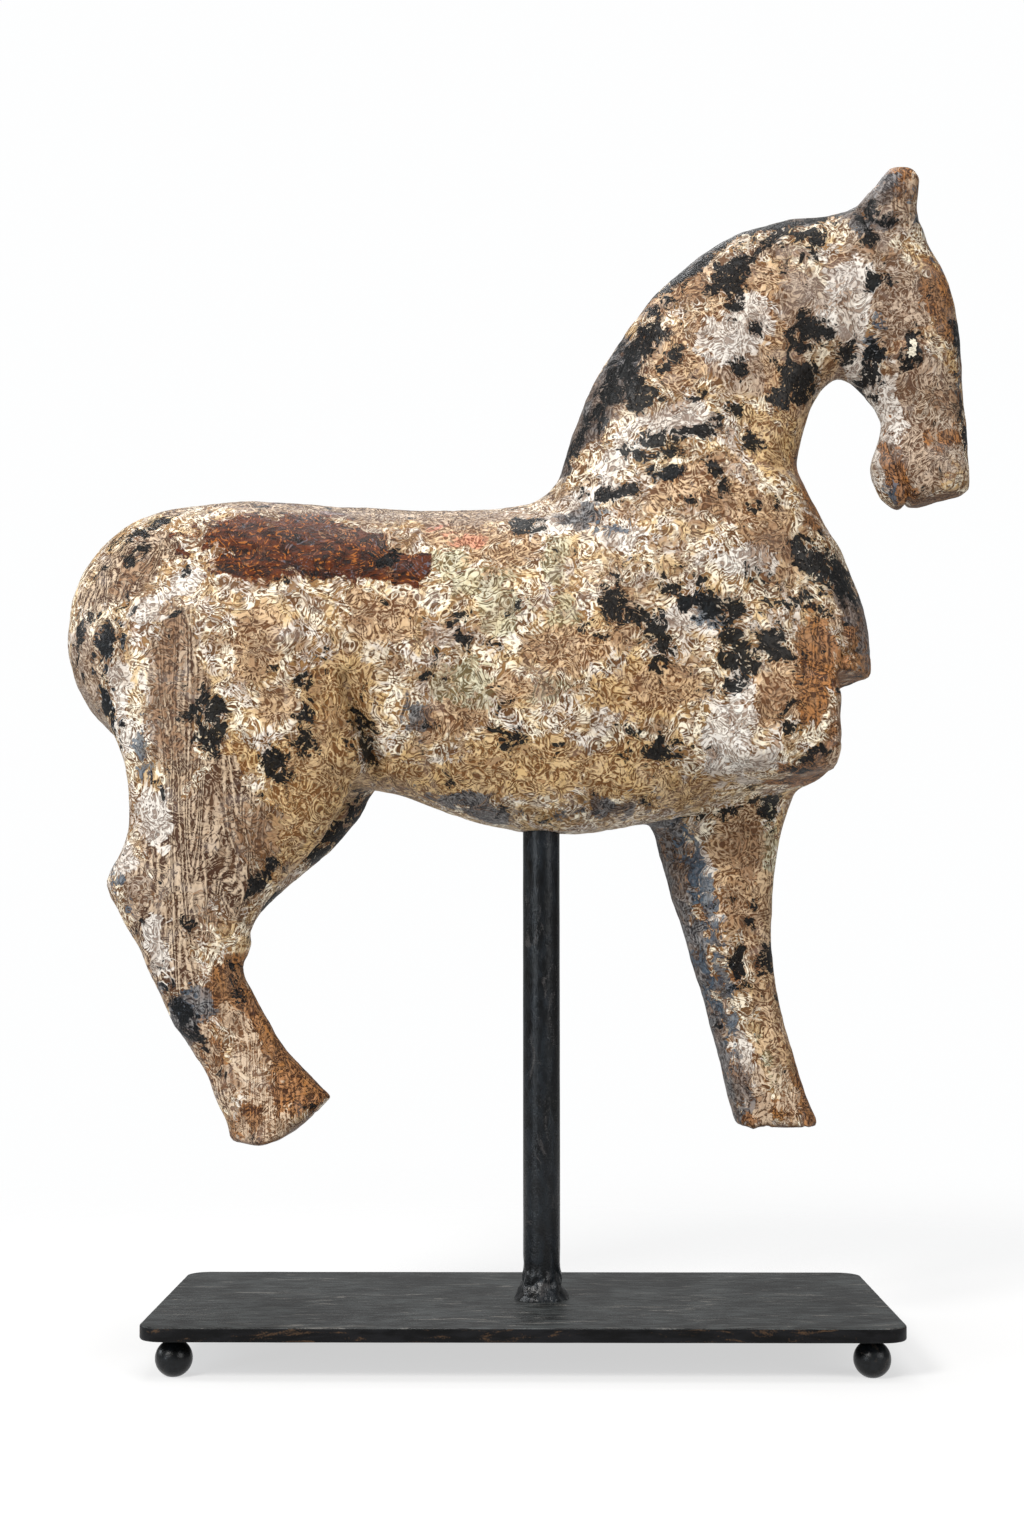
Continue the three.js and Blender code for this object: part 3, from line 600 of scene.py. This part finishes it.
# The white fleck in the near eye's black
near_fleck = [
    (181.4, 462.6, 1.3, 2.2, 0), (180.4, 459.2, 2.2, 1.9, 0),
]
near_red = [
    (-25, 369, 5, 2, 0), (-36, 373, 4, 1.2, 0),
]
far_red = [
    (10, 372, 5, 2, 0),
]
near_ochre_and_belly_shade = [
    # The last blot on the next line and the first two on the line after lay ochre under the belly: partly the
    # paint's own colour, partly painted shade.
    (-82, 295, 14.5, 20, 0), (-91, 259, 19, 27, -20), (-104, 227, 13.5, 18, -40), (-47, 260, 27.5, 10, -15),
    (-1, 264, 40.5, 13.5, 0), (44, 264, 27, 13.5, 10), (52, 299, 22, 13.5, 0), (124, 437, 11.5, 16, 0),
    (117, 415, 12, 15.5, 0), (130, 407, 7.5, 18.5, 0), (188, 502, 6.5, 4, -40), (203, 477, 4.5, 18.5, 10),
    (200, 452, 6.5, 18.5, 0), (196, 405, 10, 9, 0), (18, 335, 5.5, 12.5, 0), (-125, 269, 9, 9, 0),
    # Both blots on the next line lay ochre along the underside of the belly: partly the paint's own colour,
    # partly painted shade.
    (76, 255, 18, 5.5, 15), (-69, 254, 19, 5.5, -20),
]
far_ochre_and_belly_shade = [
    (122, 158, 4.5, 12, 10), (127, 130, 5, 14.5, 15), (125, 239, 5, 14.5, -10), (-82, 290, 14, 20, 0),
    # The second blot on the next line is ochre under the belly: partly the paint's own colour, partly painted
    # shade.
    (-91, 255, 19, 27, -20), (0, 264, 60, 13, 0), (52, 296, 22, 13, 0), (124, 430, 11, 18, 0),
    (200, 445, 8, 20, 0),
]
near_green = [
    (-7, 335, 10.5, 10, 0), (18, 330, 6, 13.5, 0), (-26, 301, 15.5, 11.5, 0), (-19, 350, 13.5, 6.5, 0),
    (-33, 359, 9, 6.5, 0), (15, 359, 5.5, 10, 0), (8, 299, 13.5, 6, 0),
]
far_green = [
    (116, 206, 4, 36, 0), (121, 168, 4, 24, 0), (116, 131, 4, 14, 20), (-10, 320, 16, 14, 0),
    (35, 360, 12, 8, 0),
]
near_pale_paint_and_highlights = [
    # The first three blots on the next line are painted highlights on the upper rump and down its rear edge.
    (-152, 349, 10, 6.5, 20), (-167, 336, 10.5, 7, 40), (-182, 299, 4, 27, 10), (92, 281, 10, 20.5, -10),
    # The second and third blots on the next line are a painted highlight on the cheek.
    (99, 265, 13.5, 4.5, 10), (150, 475, 12, 10, 0), (153, 489, 11, 13.5, 0), (160, 446, 9.5, 13, 0),
    (169, 432, 8.5, 18.5, 0), (169, 406, 7.5, 12, 0), (46, 368, 10, 6.5, 0), (98, 358, 13.5, 8, 0),
    (75, 330, 18, 4.5, 0), (17, 379, 13.5, 5.5, 5), (-165, 243, 8, 13.5, 10), (-182, 223, 9, 7, 30),
    (31, 389, 13.5, 4.5, 10), (99, 469, 18.5, 12, 30), (72, 426, 18, 9, 0), (-162, 183, 5.5, 15, 20),
    (45, 412, 6.5, 11, -40),
]
far_pale_paint_and_highlights = [
    # The last blot on the next line is a painted highlight on the upper rump.
    (103, 131, 4, 23.5, 15), (107, 114, 4.5, 17, 12), (85, 215, 2.5, 14, 15), (-160, 350, 16, 8, 30),
    # The second blot on the next line is a painted highlight on the cheek.
    (92, 285, 12, 20, 0), (155, 480, 14, 16, 0), (165, 430, 10, 20, 0), (60, 330, 20, 10, 0),
    (100, 450, 16, 14, 0),
]
near_bare = [
    (146, 290, 5, 34, 0), (160, 318, 10, 8, 0), (135, 315, 10, 19, 0), (155, 312, 7.5, 6.5, 0),
    (152, 327, 8, 12, 25), (140, 278, 4, 15, 0), (129, 294, 7, 11.5, 0), (131, 265, 11.5, 4.5, 15),
    (179, 543, 11, 10, 0), (198, 478, 6, 22, 12), (-120, 151, 15.5, 22.5, 25), (-101, 123, 18, 13.5, 30),
    (-131, 167, 11, 11, 0), (-116, 108, 16, 10, 20), (-137, 134, 6.5, 18, 25), (175, 405, 2, 11, 15),
    (178, 396, 3, 6.5, 20), (193, 489, 5.5, 11, 15), (197, 420, 6, 3.5, 0), (133, 395, 6.5, 18.5, 5),
]
far_bare = [
    (133, 114, 6.5, 17, 20), (100, 168, 4, 4.5, 0), (120, 107, 14, 6.5, 0), (104, 103, 14, 4, 0),
    (179, 542, 8, 7, 0), (-120, 151, 15, 22, 25), (-101, 123, 18, 13, 30), (-116, 108, 16, 10, 20),
    (155, 318, 9, 14, 0), (138, 290, 8, 20, 0),
]
near_umber = [
    (176, 538, 9, 9, 0), (-139, 132, 7, 26, 25), (-120, 112, 10, 4, 20), (-155, 298, 10.5, 40, 0),
    (-144, 227, 26.5, 35.5, 0), (-160, 183, 15, 27, 15), (-178, 355, 22.5, 13.5, 40),
    # The first two blots on the next line make a darker, greyer band along the top of the back.
    (-94, 388, 73.5, 3.5, -1), (-20, 390, 41.5, 3, 6), (114, 509, 27.5, 4.5, 12), (45, 447, 9, 32, -30),
    (-135, 249, 13.5, 18, 0),
]
far_umber = [
    (-155, 298, 12, 40, 0), (-144, 227, 26, 35, 0), (-160, 183, 15, 27, 15), (-150, 370, 30, 10, 20),
    # The first blot on the next line makes a darker, greyer band along the top of the back.
    (-20, 388, 60, 4, 3), (60, 450, 14, 30, -30), (20, 330, 18, 20, 0),
]
near_dull = [
    (-200, 300, 9, 30, 8), (-196, 262, 10, 22, 0), (173, 484, 15, 25, 0), (185, 442, 18, 24, 0),
    (185, 414, 20, 20, 0), (162, 512, 11, 20, 0), (-170, 205, 9, 22, 15), (-140, 215, 10, 18, 0),
    # The second blot on the next line makes the top of the back darker and greyer.
    (132, 482, 14, 12, 20), (-60, 384, 60, 6, -1), (100, 452, 12, 14, 0), (176, 528, 10, 12, 0),
]
far_dull = [
    (-200, 300, 9, 34, 8), (-192, 258, 12, 24, 0), (173, 484, 15, 25, 0), (185, 435, 20, 32, 0),
    # The last blot on the next line makes the top of the back darker and greyer.
    (162, 512, 11, 20, 0), (-170, 205, 9, 22, 15), (132, 482, 14, 12, 20), (-60, 384, 60, 6, -1),
    (60, 320, 16, 12, 0), (-110, 330, 18, 10, 0),
]
near_rubbed = [
    (-122, 131, 7, 27, 23), (-137, 132, 4, 26, 24), (-108, 104, 8, 6, 20), (142, 276, 2.5, 16, 0),
    (146, 326, 4, 8, 20), (182, 532, 3, 8, -10),
]
far_rubbed = [
    (-122, 131, 7, 27, 23), (-137, 132, 4, 26, 24), (124, 112, 4, 14, 14), (112, 108, 4, 12, 10),
    (182, 532, 3, 8, -10),
]
near_slate = [
    (-148, 158, 9, 7, 30), (-153, 148, 4, 12, 28), (161, 533, 9, 15, -45), (206, 466, 4, 14, 0),
    (36, 438, 9, 36, -32), (79, 508, 22, 8, 38), (117, 527, 30, 7, 10), (158, 522, 11, 5, 0),
    # The last blot on the next line and the first on the line after make the very underside of the belly
    # darker.
    (147, 342, 4.5, 18, 20), (159, 335, 4.5, 14, 20), (-48, 288, 6, 8, 0), (35, 247, 12.5, 3.5, 5),
    (-20, 247, 16.5, 2.5, -12), (29, 381, 10, 4.5, 10),
]
far_slate = [
    (66, 226, 12, 34, 15), (75, 184, 12, 32, 15), (85, 146, 11, 30, 15), (93, 114, 11, 22, 15),
    (36, 438, 9, 36, -32), (79, 508, 22, 8, 38), (117, 527, 30, 7, 10), (205, 466, 5, 20, 0),
    (150, 340, 6, 18, 20), (182, 525, 6, 12, 10),
]
near_worn = [
    (124, 300, 14, 16, 0), (70, 392, 26, 8, 25), (-30, 372, 30, 6, 0), (110, 478, 22, 26, 20),
    (72, 455, 16, 14, 30), (178, 458, 12, 30, 0), (184, 412, 12, 14, 0), (150, 450, 8, 14, 0),
    (97, 466, 24, 20, 30), (120, 455, 12, 26, 5), (150, 500, 9, 9, 0), (66, 424, 13, 8, 0),
    (101, 384, 20, 9, -12), (112, 362, 14, 14, 0), (20, 316, 16, 10, 0), (-64, 334, 17, 11, 0),
    (-36, 286, 16, 8, 0), (64, 300, 15, 9, 0), (46, 332, 8, 12, 20), (74, 492, 18, 7, 35),
    (166, 484, 7, 10, 0), (176, 440, 8, 12, 0), (-118, 318, 10, 14, 0), (-110, 292, 8, 9, 0),
    (112, 294, 11, 12, 0), (88, 200, 7, 22, 12), (-2, 300, 12, 6, 0), (-10, 362, 14, 6, 0),
]
far_worn = [
    (100, 225, 12, 32, 0), (112, 190, 9, 28, 5), (119, 150, 8, 25, 8), (108, 122, 6, 18, 12),
    (97, 466, 24, 20, 30), (120, 455, 12, 26, 5), (66, 424, 13, 8, 0), (101, 384, 20, 9, -12),
    (20, 316, 16, 10, 0), (-64, 334, 17, 11, 0), (64, 300, 15, 9, 0), (166, 484, 7, 10, 0),
    (-118, 318, 10, 14, 0), (112, 294, 11, 12, 0), (88, 200, 7, 22, 12), (150, 430, 14, 12, 0),
    (30, 350, 12, 9, 0),
]

# Blots wander a little from where they are drawn, and further where the surface turns away from the side.
near_side = 1 - ease(points[:, 1] + 3 * mottle(points, 12, 5), -3, 3)
turned_away = 1 - np.abs(facing[:, 1])
wander = np.stack([mottle(points, 16, seed) for seed in (6, 7, 8)], axis=1)
drawn_at = points + wander * (1.5 + 7 * turned_away ** 3)[:, None]


def side_depth(near_blots, far_blots):
    """How deep each point lies inside the nearest blot of its side, in millimetres, or below 0 outside."""
    sides = []
    for blots in (near_blots, far_blots):
        deepest = np.full(len(points), -20.0)
        for x, z, wide, high, turn in blots:
            off_x, off_z = drawn_at[:, 0] - x, drawn_at[:, 2] - z
            lean = radians(turn)
            along = (off_x * cos(lean) + off_z * sin(lean)) / wide
            up = (off_z * cos(lean) - off_x * sin(lean)) / high
            deepest = np.maximum(deepest, (1 - np.hypot(along, up)) * min(wide, high, 9))
        sides.append(deepest)
    return sides[1] + (sides[0] - sides[1]) * near_side


loose_flakes = 11 * mottle(points, 13, 11) + 5 * mottle(points, 5, 12) - 8.2

# End grain: the soles of the hoofs and the end of the muzzle are sawn bare wood, darkened by handling.
sole = ease(-facing[:, 2], 0.35, 0.8) * (points[:, 2] < 112)
muzzle_cut = ease(-facing[:, 2], 0.8, 0.95) * (points[:, 0] > 160) * (points[:, 2] < 402)
sawn = np.maximum(sole, muzzle_cut)


def keep(name, values):
    """Stores one number for each point of the horse."""
    horse_mesh.attributes.new(name, "FLOAT", "POINT").data.foreach_set("value", values)


keep("sawn", sawn)
keep("black", np.maximum(side_depth(near_black_paint_and_shade, far_black_paint_and_shade), loose_flakes * 0.7 - 1.2) * (1 - sawn) - 9 * sawn)
keep("blue", side_depth(near_blue, far_blue))
keep("fleck", side_depth(near_fleck, []))
keep("brown", np.maximum(side_depth(near_brown, far_brown), 0.8 * (9 * mottle(points, 15, 15) - 4.5)))

# The paint itself: cream curls a millimetre or two wide over browner coats, with flakes down to black, blue
# and brown, grain showing through where it is thin, and wax over all of it. Some of the black is painted
# shade, some of the pale painted highlights and some of the ochre partly painted shade, as noted at their
# blots.
old_paint, place = start_finish("old_paint")


def stored(name):
    """The number kept under this name for each point of the horse."""
    return place.node("ShaderNodeAttribute", {"attribute_name": name}, {}, "Fac")


clumps = place.cloud(55, detail=2, twist=0.9)
contour = place.cloud(70, detail=2, twist=1.5)
flakes = place.cloud(125, detail=3, twist=0.8)
swirl = place.cloud(88, detail=1.5, twist=2.4)
curl = swirl.math("SINE", swirl * 34) * 0.5 + 0.5
weave = place.cloud(125, detail=1.5, twist=1.8)
under_curl = weave.math("SINE", weave * 30) * 0.5 + 0.5
grit = place.cloud(700, detail=2, twist=0.3)
rings = place.stretch(1, 1, 0.07).cloud(62, detail=2, twist=0.5)
streaks = rings.math("SINE", rings * 115) * 0.5 + 0.5
ragged = 21 * (flakes - 0.5) + 10 * (weave - 0.5) + 3 * (curl - 0.5)

# Each coat that shows: where on the near and far side, the colour of its curls and of the ground between
# them, how much of the surface the curls take up, how far the coat covers what is under it, and how far the
# grain shows through it.
coats = {
    # The ochre coat also darkens the underside of the belly, partly as painted shade.
    "ochre": (near_ochre_and_belly_shade, far_ochre_and_belly_shade, (208, 172, 118), (112, 74, 38), 0.48, 0.85, 0),
    "green": (near_green, far_green, (194, 190, 160), (104, 94, 64), 0.50, 0.7, 0),
    "worn": (near_worn, far_worn, (206, 172, 134), (98, 64, 40), 0.40, 0.85, 0.1),
    "dull": (near_dull, far_dull, (180, 160, 142), (92, 68, 52), 0.42, 0.8, 0.2),
    "umber": (near_umber, far_umber, (194, 170, 144), (66, 43, 30), 0.38, 0.92, 0.95),
    # The pale coat also lays painted highlights on the upper rump, its rear edge and the cheeks.
    "pale": (near_pale_paint_and_highlights, far_pale_paint_and_highlights, (226, 221, 214), (150, 134, 122), 0.60, 0.8, 0),
    "bare": (near_bare, far_bare, (158, 102, 50), (62, 36, 19), 0.44, 0.92, 0.6),
    "rubbed": (near_rubbed, far_rubbed, (208, 186, 160), (112, 78, 52), 0.56, 0.85, 0.6),
    "rust": (near_rust, far_rust, (84, 38, 16), (30, 14, 8), 0.42, 1.0, 0),
    "red": (near_red, far_red, (206, 104, 80), (150, 72, 54), 0.5, 0.5, 0),
    "slate": (near_slate, far_slate, (120, 120, 122), (40, 42, 46), 0.36, 0.94, 0.4),
}
cream, toned_cream, chalk = tint(248, 236, 211), tint(218, 188, 142), tint(222, 214, 206)
earth, clay = tint(98, 68, 42), tint(142, 106, 66)
pale = flakes.ease(0.44, 0.58).blend(cream, toned_cream)
pale = (0.8 * place.cloud(70, detail=3, twist=1).ease(0.50, 0.62)).blend(pale, chalk)
deep = weave.ease(0.40, 0.62).blend(earth, clay)
share = 0.56 + 0.5 * (clumps - 0.5)
bare_grain = 0.0
shown = {}
warmth = 0.5 * place.cloud(90, detail=3).ease(0.4, 0.6)
for name, (near_blots, far_blots, curl_tint, ground_tint, curl_share, cover, grain) in coats.items():
    keep(name, side_depth(near_blots, far_blots))
    there = cover * (stored(name) + 0.5 * ragged + 16 * (clumps - 0.5) + 0.7).ease(-0.5, 0.6)
    pale = there.blend(pale, tint(*curl_tint))
    deep = there.blend(deep, tint(*ground_tint))
    share = share + there * (curl_share - share)
    bare_grain = bare_grain + there * (grain - bare_grain)
    if name in ("pale", "slate", "umber", "dull"):
        warmth = warmth * (1 - 0.9 * there)
    shown[name] = there
gloss = shown["rust"]
end_grain, dark_end_grain = tint(120, 80, 48), tint(66, 40, 24)
at_cut = 0.9 * stored("sawn")
pale = at_cut.blend(pale, end_grain)
deep = at_cut.blend(deep, dark_end_grain)

# Height of the paint film: curls stand where it is above 0, with a thinner coat just below them, the ground
# below that, and dirt along the curls' edges.
amber, honey, grime = tint(150, 98, 56), tint(196, 150, 102), tint(18, 13, 9)
rust_orange, rust_dark, rust_light = tint(150, 84, 36), tint(26, 17, 14), tint(100, 50, 22)
vein_orange, vein_grey = tint(168, 100, 42), tint(92, 94, 104)
coat_field = 0.26 * curl + 0.12 * under_curl + 0.46 * flakes + 0.22 * clumps + 0.05 * grit - 0.565
coat_field = coat_field + bare_grain * (0.38 * (streaks - 0.5) - 0.5 * coat_field) + 0.36 * (share - 0.5)
top_coat = coat_field.ease(-0.010, 0.010)
middle_coat = (coat_field + 0.16 * (under_curl - 0.5)).ease(-0.09, -0.07)
edge_line = coat_field.ease(-0.034, -0.018) * (1 - top_coat)
warm = flakes.ease(0.42, 0.58).blend(amber, honey)
middle_tone = warmth.blend((0.35 + 0.3 * under_curl).blend(deep, pale), warm)
middle_tone = gloss.blend(middle_tone, (0.3 * under_curl).blend(deep, rust_orange))
colour = middle_coat.blend(deep, middle_tone)
thick = coat_field.ease(0.0, 0.11)
colour = top_coat.blend(colour, (0.34 - 0.34 * thick).blend(pale, deep))
colour = (0.82 * edge_line).blend(colour, deep.towards(grime, 0.78))
etched = (0.75 * (1 - under_curl) + 0.5 * (1 - grit)).ease(0.84, 1.0)
colour = (0.40 * etched).blend(colour, deep)
scratched = (1.0 - under_curl + 0.5 * curl).ease(1.12, 1.26) * (1 - top_coat)
colour = (0.5 * scratched).blend(colour, pale)
rusty = place.stretch(0.55, 1, 1.2).cloud(95, detail=3, twist=3)
rust_tone = rusty.ease(0.40, 0.60).blend(rust_dark, rust_light)
colour = (0.6 * gloss).blend(colour, rust_tone)
vein = gloss * (contour.math("SINE", contour * 44) + 0.5 * under_curl).ease(1.14, 1.32)
colour = (0.75 * vein).blend(colour, clumps.ease(0.54, 0.62).blend(vein_orange, vein_grey))

# Old wax over the paint, brown in patches and here and there gone hazy
wax_dark, wax_light, wax_haze = tint(92, 66, 46), tint(150, 120, 92), tint(186, 176, 170)
glaze = 0.38 * (1 - gloss) * place.cloud(42, detail=3, twist=1.2).ease(0.48, 0.64)
glaze_tone = (0.5 * curl + 0.5 * grit).ease(0.3, 0.8).blend(wax_dark, wax_light)
colour = glaze.blend(colour, glaze_tone)
bloom = 0.18 * (1 - gloss) * place.cloud(34, detail=3, twist=1.6).ease(0.54, 0.68)
colour = bloom.blend(colour, wax_haze)

# Flakes down to the brown, blue and black coats. The black has a thin brown-grey fringe, and a few specks of
# the paint above are left on it. In the flank folds and on the top of the far foreleg under the stump the
# black is painted shade.
brown_dark, brown_light = tint(84, 58, 40), tint(146, 110, 80)
blue_dark, blue_light = tint(22, 32, 44), tint(78, 96, 112)
black_dark, black_light, fringe_grey = tint(8, 9, 10), tint(26, 30, 33), tint(64, 56, 48)
fleck_white = tint(238, 228, 206)
nibbled = (weave + 0.10 * curl + 0.12 * grit).ease(0.66, 0.70)
brown_mask = (stored("brown") + ragged).ease(-0.1, 0.3) * (1 - 0.8 * nibbled)
brown_tone = (0.45 * under_curl + 0.55 * grit).ease(0.3, 0.75).blend(brown_dark, brown_light)
colour = (0.72 * brown_mask).blend(colour, brown_tone)
blue_mask = (stored("blue") + ragged).ease(-0.1, 0.6)
blue_tone = (0.6 * flakes + 0.4 * grit).ease(0.40, 0.62).blend(blue_dark, blue_light)
colour = (0.8 * blue_mask).blend(colour, blue_tone)
black_edge = stored("black") + 0.8 * ragged + 0.7
specks = (place.cloud(260, detail=2, twist=2.2) + 0.12 * curl - 0.014 * black_edge).ease(0.645, 0.67)
black_mask = black_edge.ease(-0.05, 0.2) * (1 - specks)
fringe = black_edge.ease(-1.0, 0.0) * (1 - black_mask)
colour = (0.35 * fringe).blend(colour, fringe_grey)
black_tone = grit.ease(0.4, 0.8).blend(black_dark, black_light)
colour = (0.98 * black_mask).blend(colour, black_tone)
fleck_mask = (stored("fleck") + 0.3 * ragged + 0.1).ease(-0.05, 0.3)
colour = (0.92 * fleck_mask).blend(colour, fleck_white)

paint_relief = 0.0009
height = 0.50 * top_coat + 0.25 * middle_coat + 0.08 * grit + 0.30 * flakes - 0.20 * etched + 0.2 * scratched
height = height + 0.35 * bare_grain * streaks - 0.55 * black_mask - 0.30 * brown_mask
end_finish(place, height, paint_relief, {
    "Base Color": colour,
    "Roughness": 0.46 + 0.3 * (grit - 0.5) - 0.06 * black_mask - 0.12 * gloss,
    "Coat Weight": (0.05 + 0.04 * gloss) * (1 - black_mask),
    "Coat Roughness": 0.3,
    "Specular IOR Level": 0.2,
})
horse_mesh.materials.clear()
horse_mesh.materials.append(old_paint)
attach(horse, "root")
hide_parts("horse")


# The floor: a pale seamless sheet that fades into the bright room, and the soft lights of a photographer's
# studio round it.
floor_mesh = bpy.data.meshes.new("floor")
floor_half = 6
floor_corners = [(x * floor_half, y * floor_half, 0) for x, y in ((-1, -1), (1, -1), (1, 1), (-1, 1))]
floor_mesh.from_pydata(floor_corners, [], [(0, 1, 2, 3)])
floor = bpy.data.objects.new("floor", floor_mesh)
bpy.context.scene.collection.objects.link(floor)
floor_paint, place = start_finish("floor_paint")
spread = place.node("ShaderNodeVectorMath", {"operation": "LENGTH"}, {0: place}, "Value")
gone = spread.ease(0.2, 0.8)
paper = place.cloud(3).blend(tint(150, 150, 150), tint(152, 152, 152))
sheet = place.node("ShaderNodeBsdfPrincipled", {}, {
    "Base Color": paper, "Roughness": 0.9, "Specular IOR Level": 0.0,
    "Emission Color": (1, 1, 1, 1), "Emission Strength": 0.6}, "BSDF")
clear = place.node("ShaderNodeBsdfTransparent", {}, {}, "BSDF")
mixed = place.node("ShaderNodeMixShader", {}, {0: gone, 1: sheet, 2: clear})
place.node("ShaderNodeOutputMaterial", {}, {"Surface": mixed})
floor_mesh.materials.append(floor_paint)

room = bpy.data.worlds.new("room")
room.use_nodes = True
room.node_tree.nodes.clear()
walls = Wire(room.node_tree, None).node("ShaderNodeLightPath", output="Is Camera Ray")
light_cast, seen_besides = 0.29, 0.705
walls = walls.node("ShaderNodeBackground", {}, {
    "Color": (0.995, 0.998, 1, 1), "Strength": light_cast + walls * seen_besides})
walls.node("ShaderNodeOutputWorld", {}, {"Surface": walls})
bpy.context.scene.world = room


horse_middle = (0, 0, 0.35)


def soft_light(name, spot, size, power, aim=horse_middle, warmth=(1, 1, 1)):
    """A square softbox at spot, turned to aim: its size in metres, its power in watts and its colour."""
    light = bpy.data.lights.new(name, "AREA")
    light.size = size
    light.energy = power
    light.color = warmth
    lamp = bpy.data.objects.new(name, light)
    lamp.location = spot
    lamp.rotation_euler = (Vector(aim) - Vector(spot)).to_track_quat("-Z", "Y").to_euler()
    bpy.context.scene.collection.objects.link(lamp)


soft_light("key_left", (-1.0, -1.35, 1.35), size=0.6, power=36, warmth=(1, 0.98, 0.95))
soft_light("fill_right", (1.3, -1.1, 0.8), size=0.8, power=10)
soft_light("top", (0.1, -0.1, 1.6), size=0.9, power=9)
soft_light("side_left", (-1.6, 0.1, 0.7), size=0.6, power=8, warmth=(0.92, 0.96, 1))
soft_light("strip_left", (-0.9, -1.0, 0.25), size=0.25, power=2.5, aim=(0, 0, 0.2), warmth=(0.85, 0.93, 1))
soft_light("back", (-0.3, 1.1, 1.9), size=0.7, power=10)
bpy.context.scene.view_settings.view_transform = "Standard"

# The camera: where the photograph was taken from, a metre away, low down and tipped up a little.
lens = bpy.data.cameras.new("camera")
lens.lens = 50.766
lens.sensor_width = 36
camera = bpy.data.objects.new("camera", lens)
camera.location = (0.0027, -1.0114, 0.1945)
camera.rotation_euler = (radians(94.11), 0, radians(0.44))
bpy.context.scene.collection.objects.link(camera)
bpy.context.scene.camera = camera
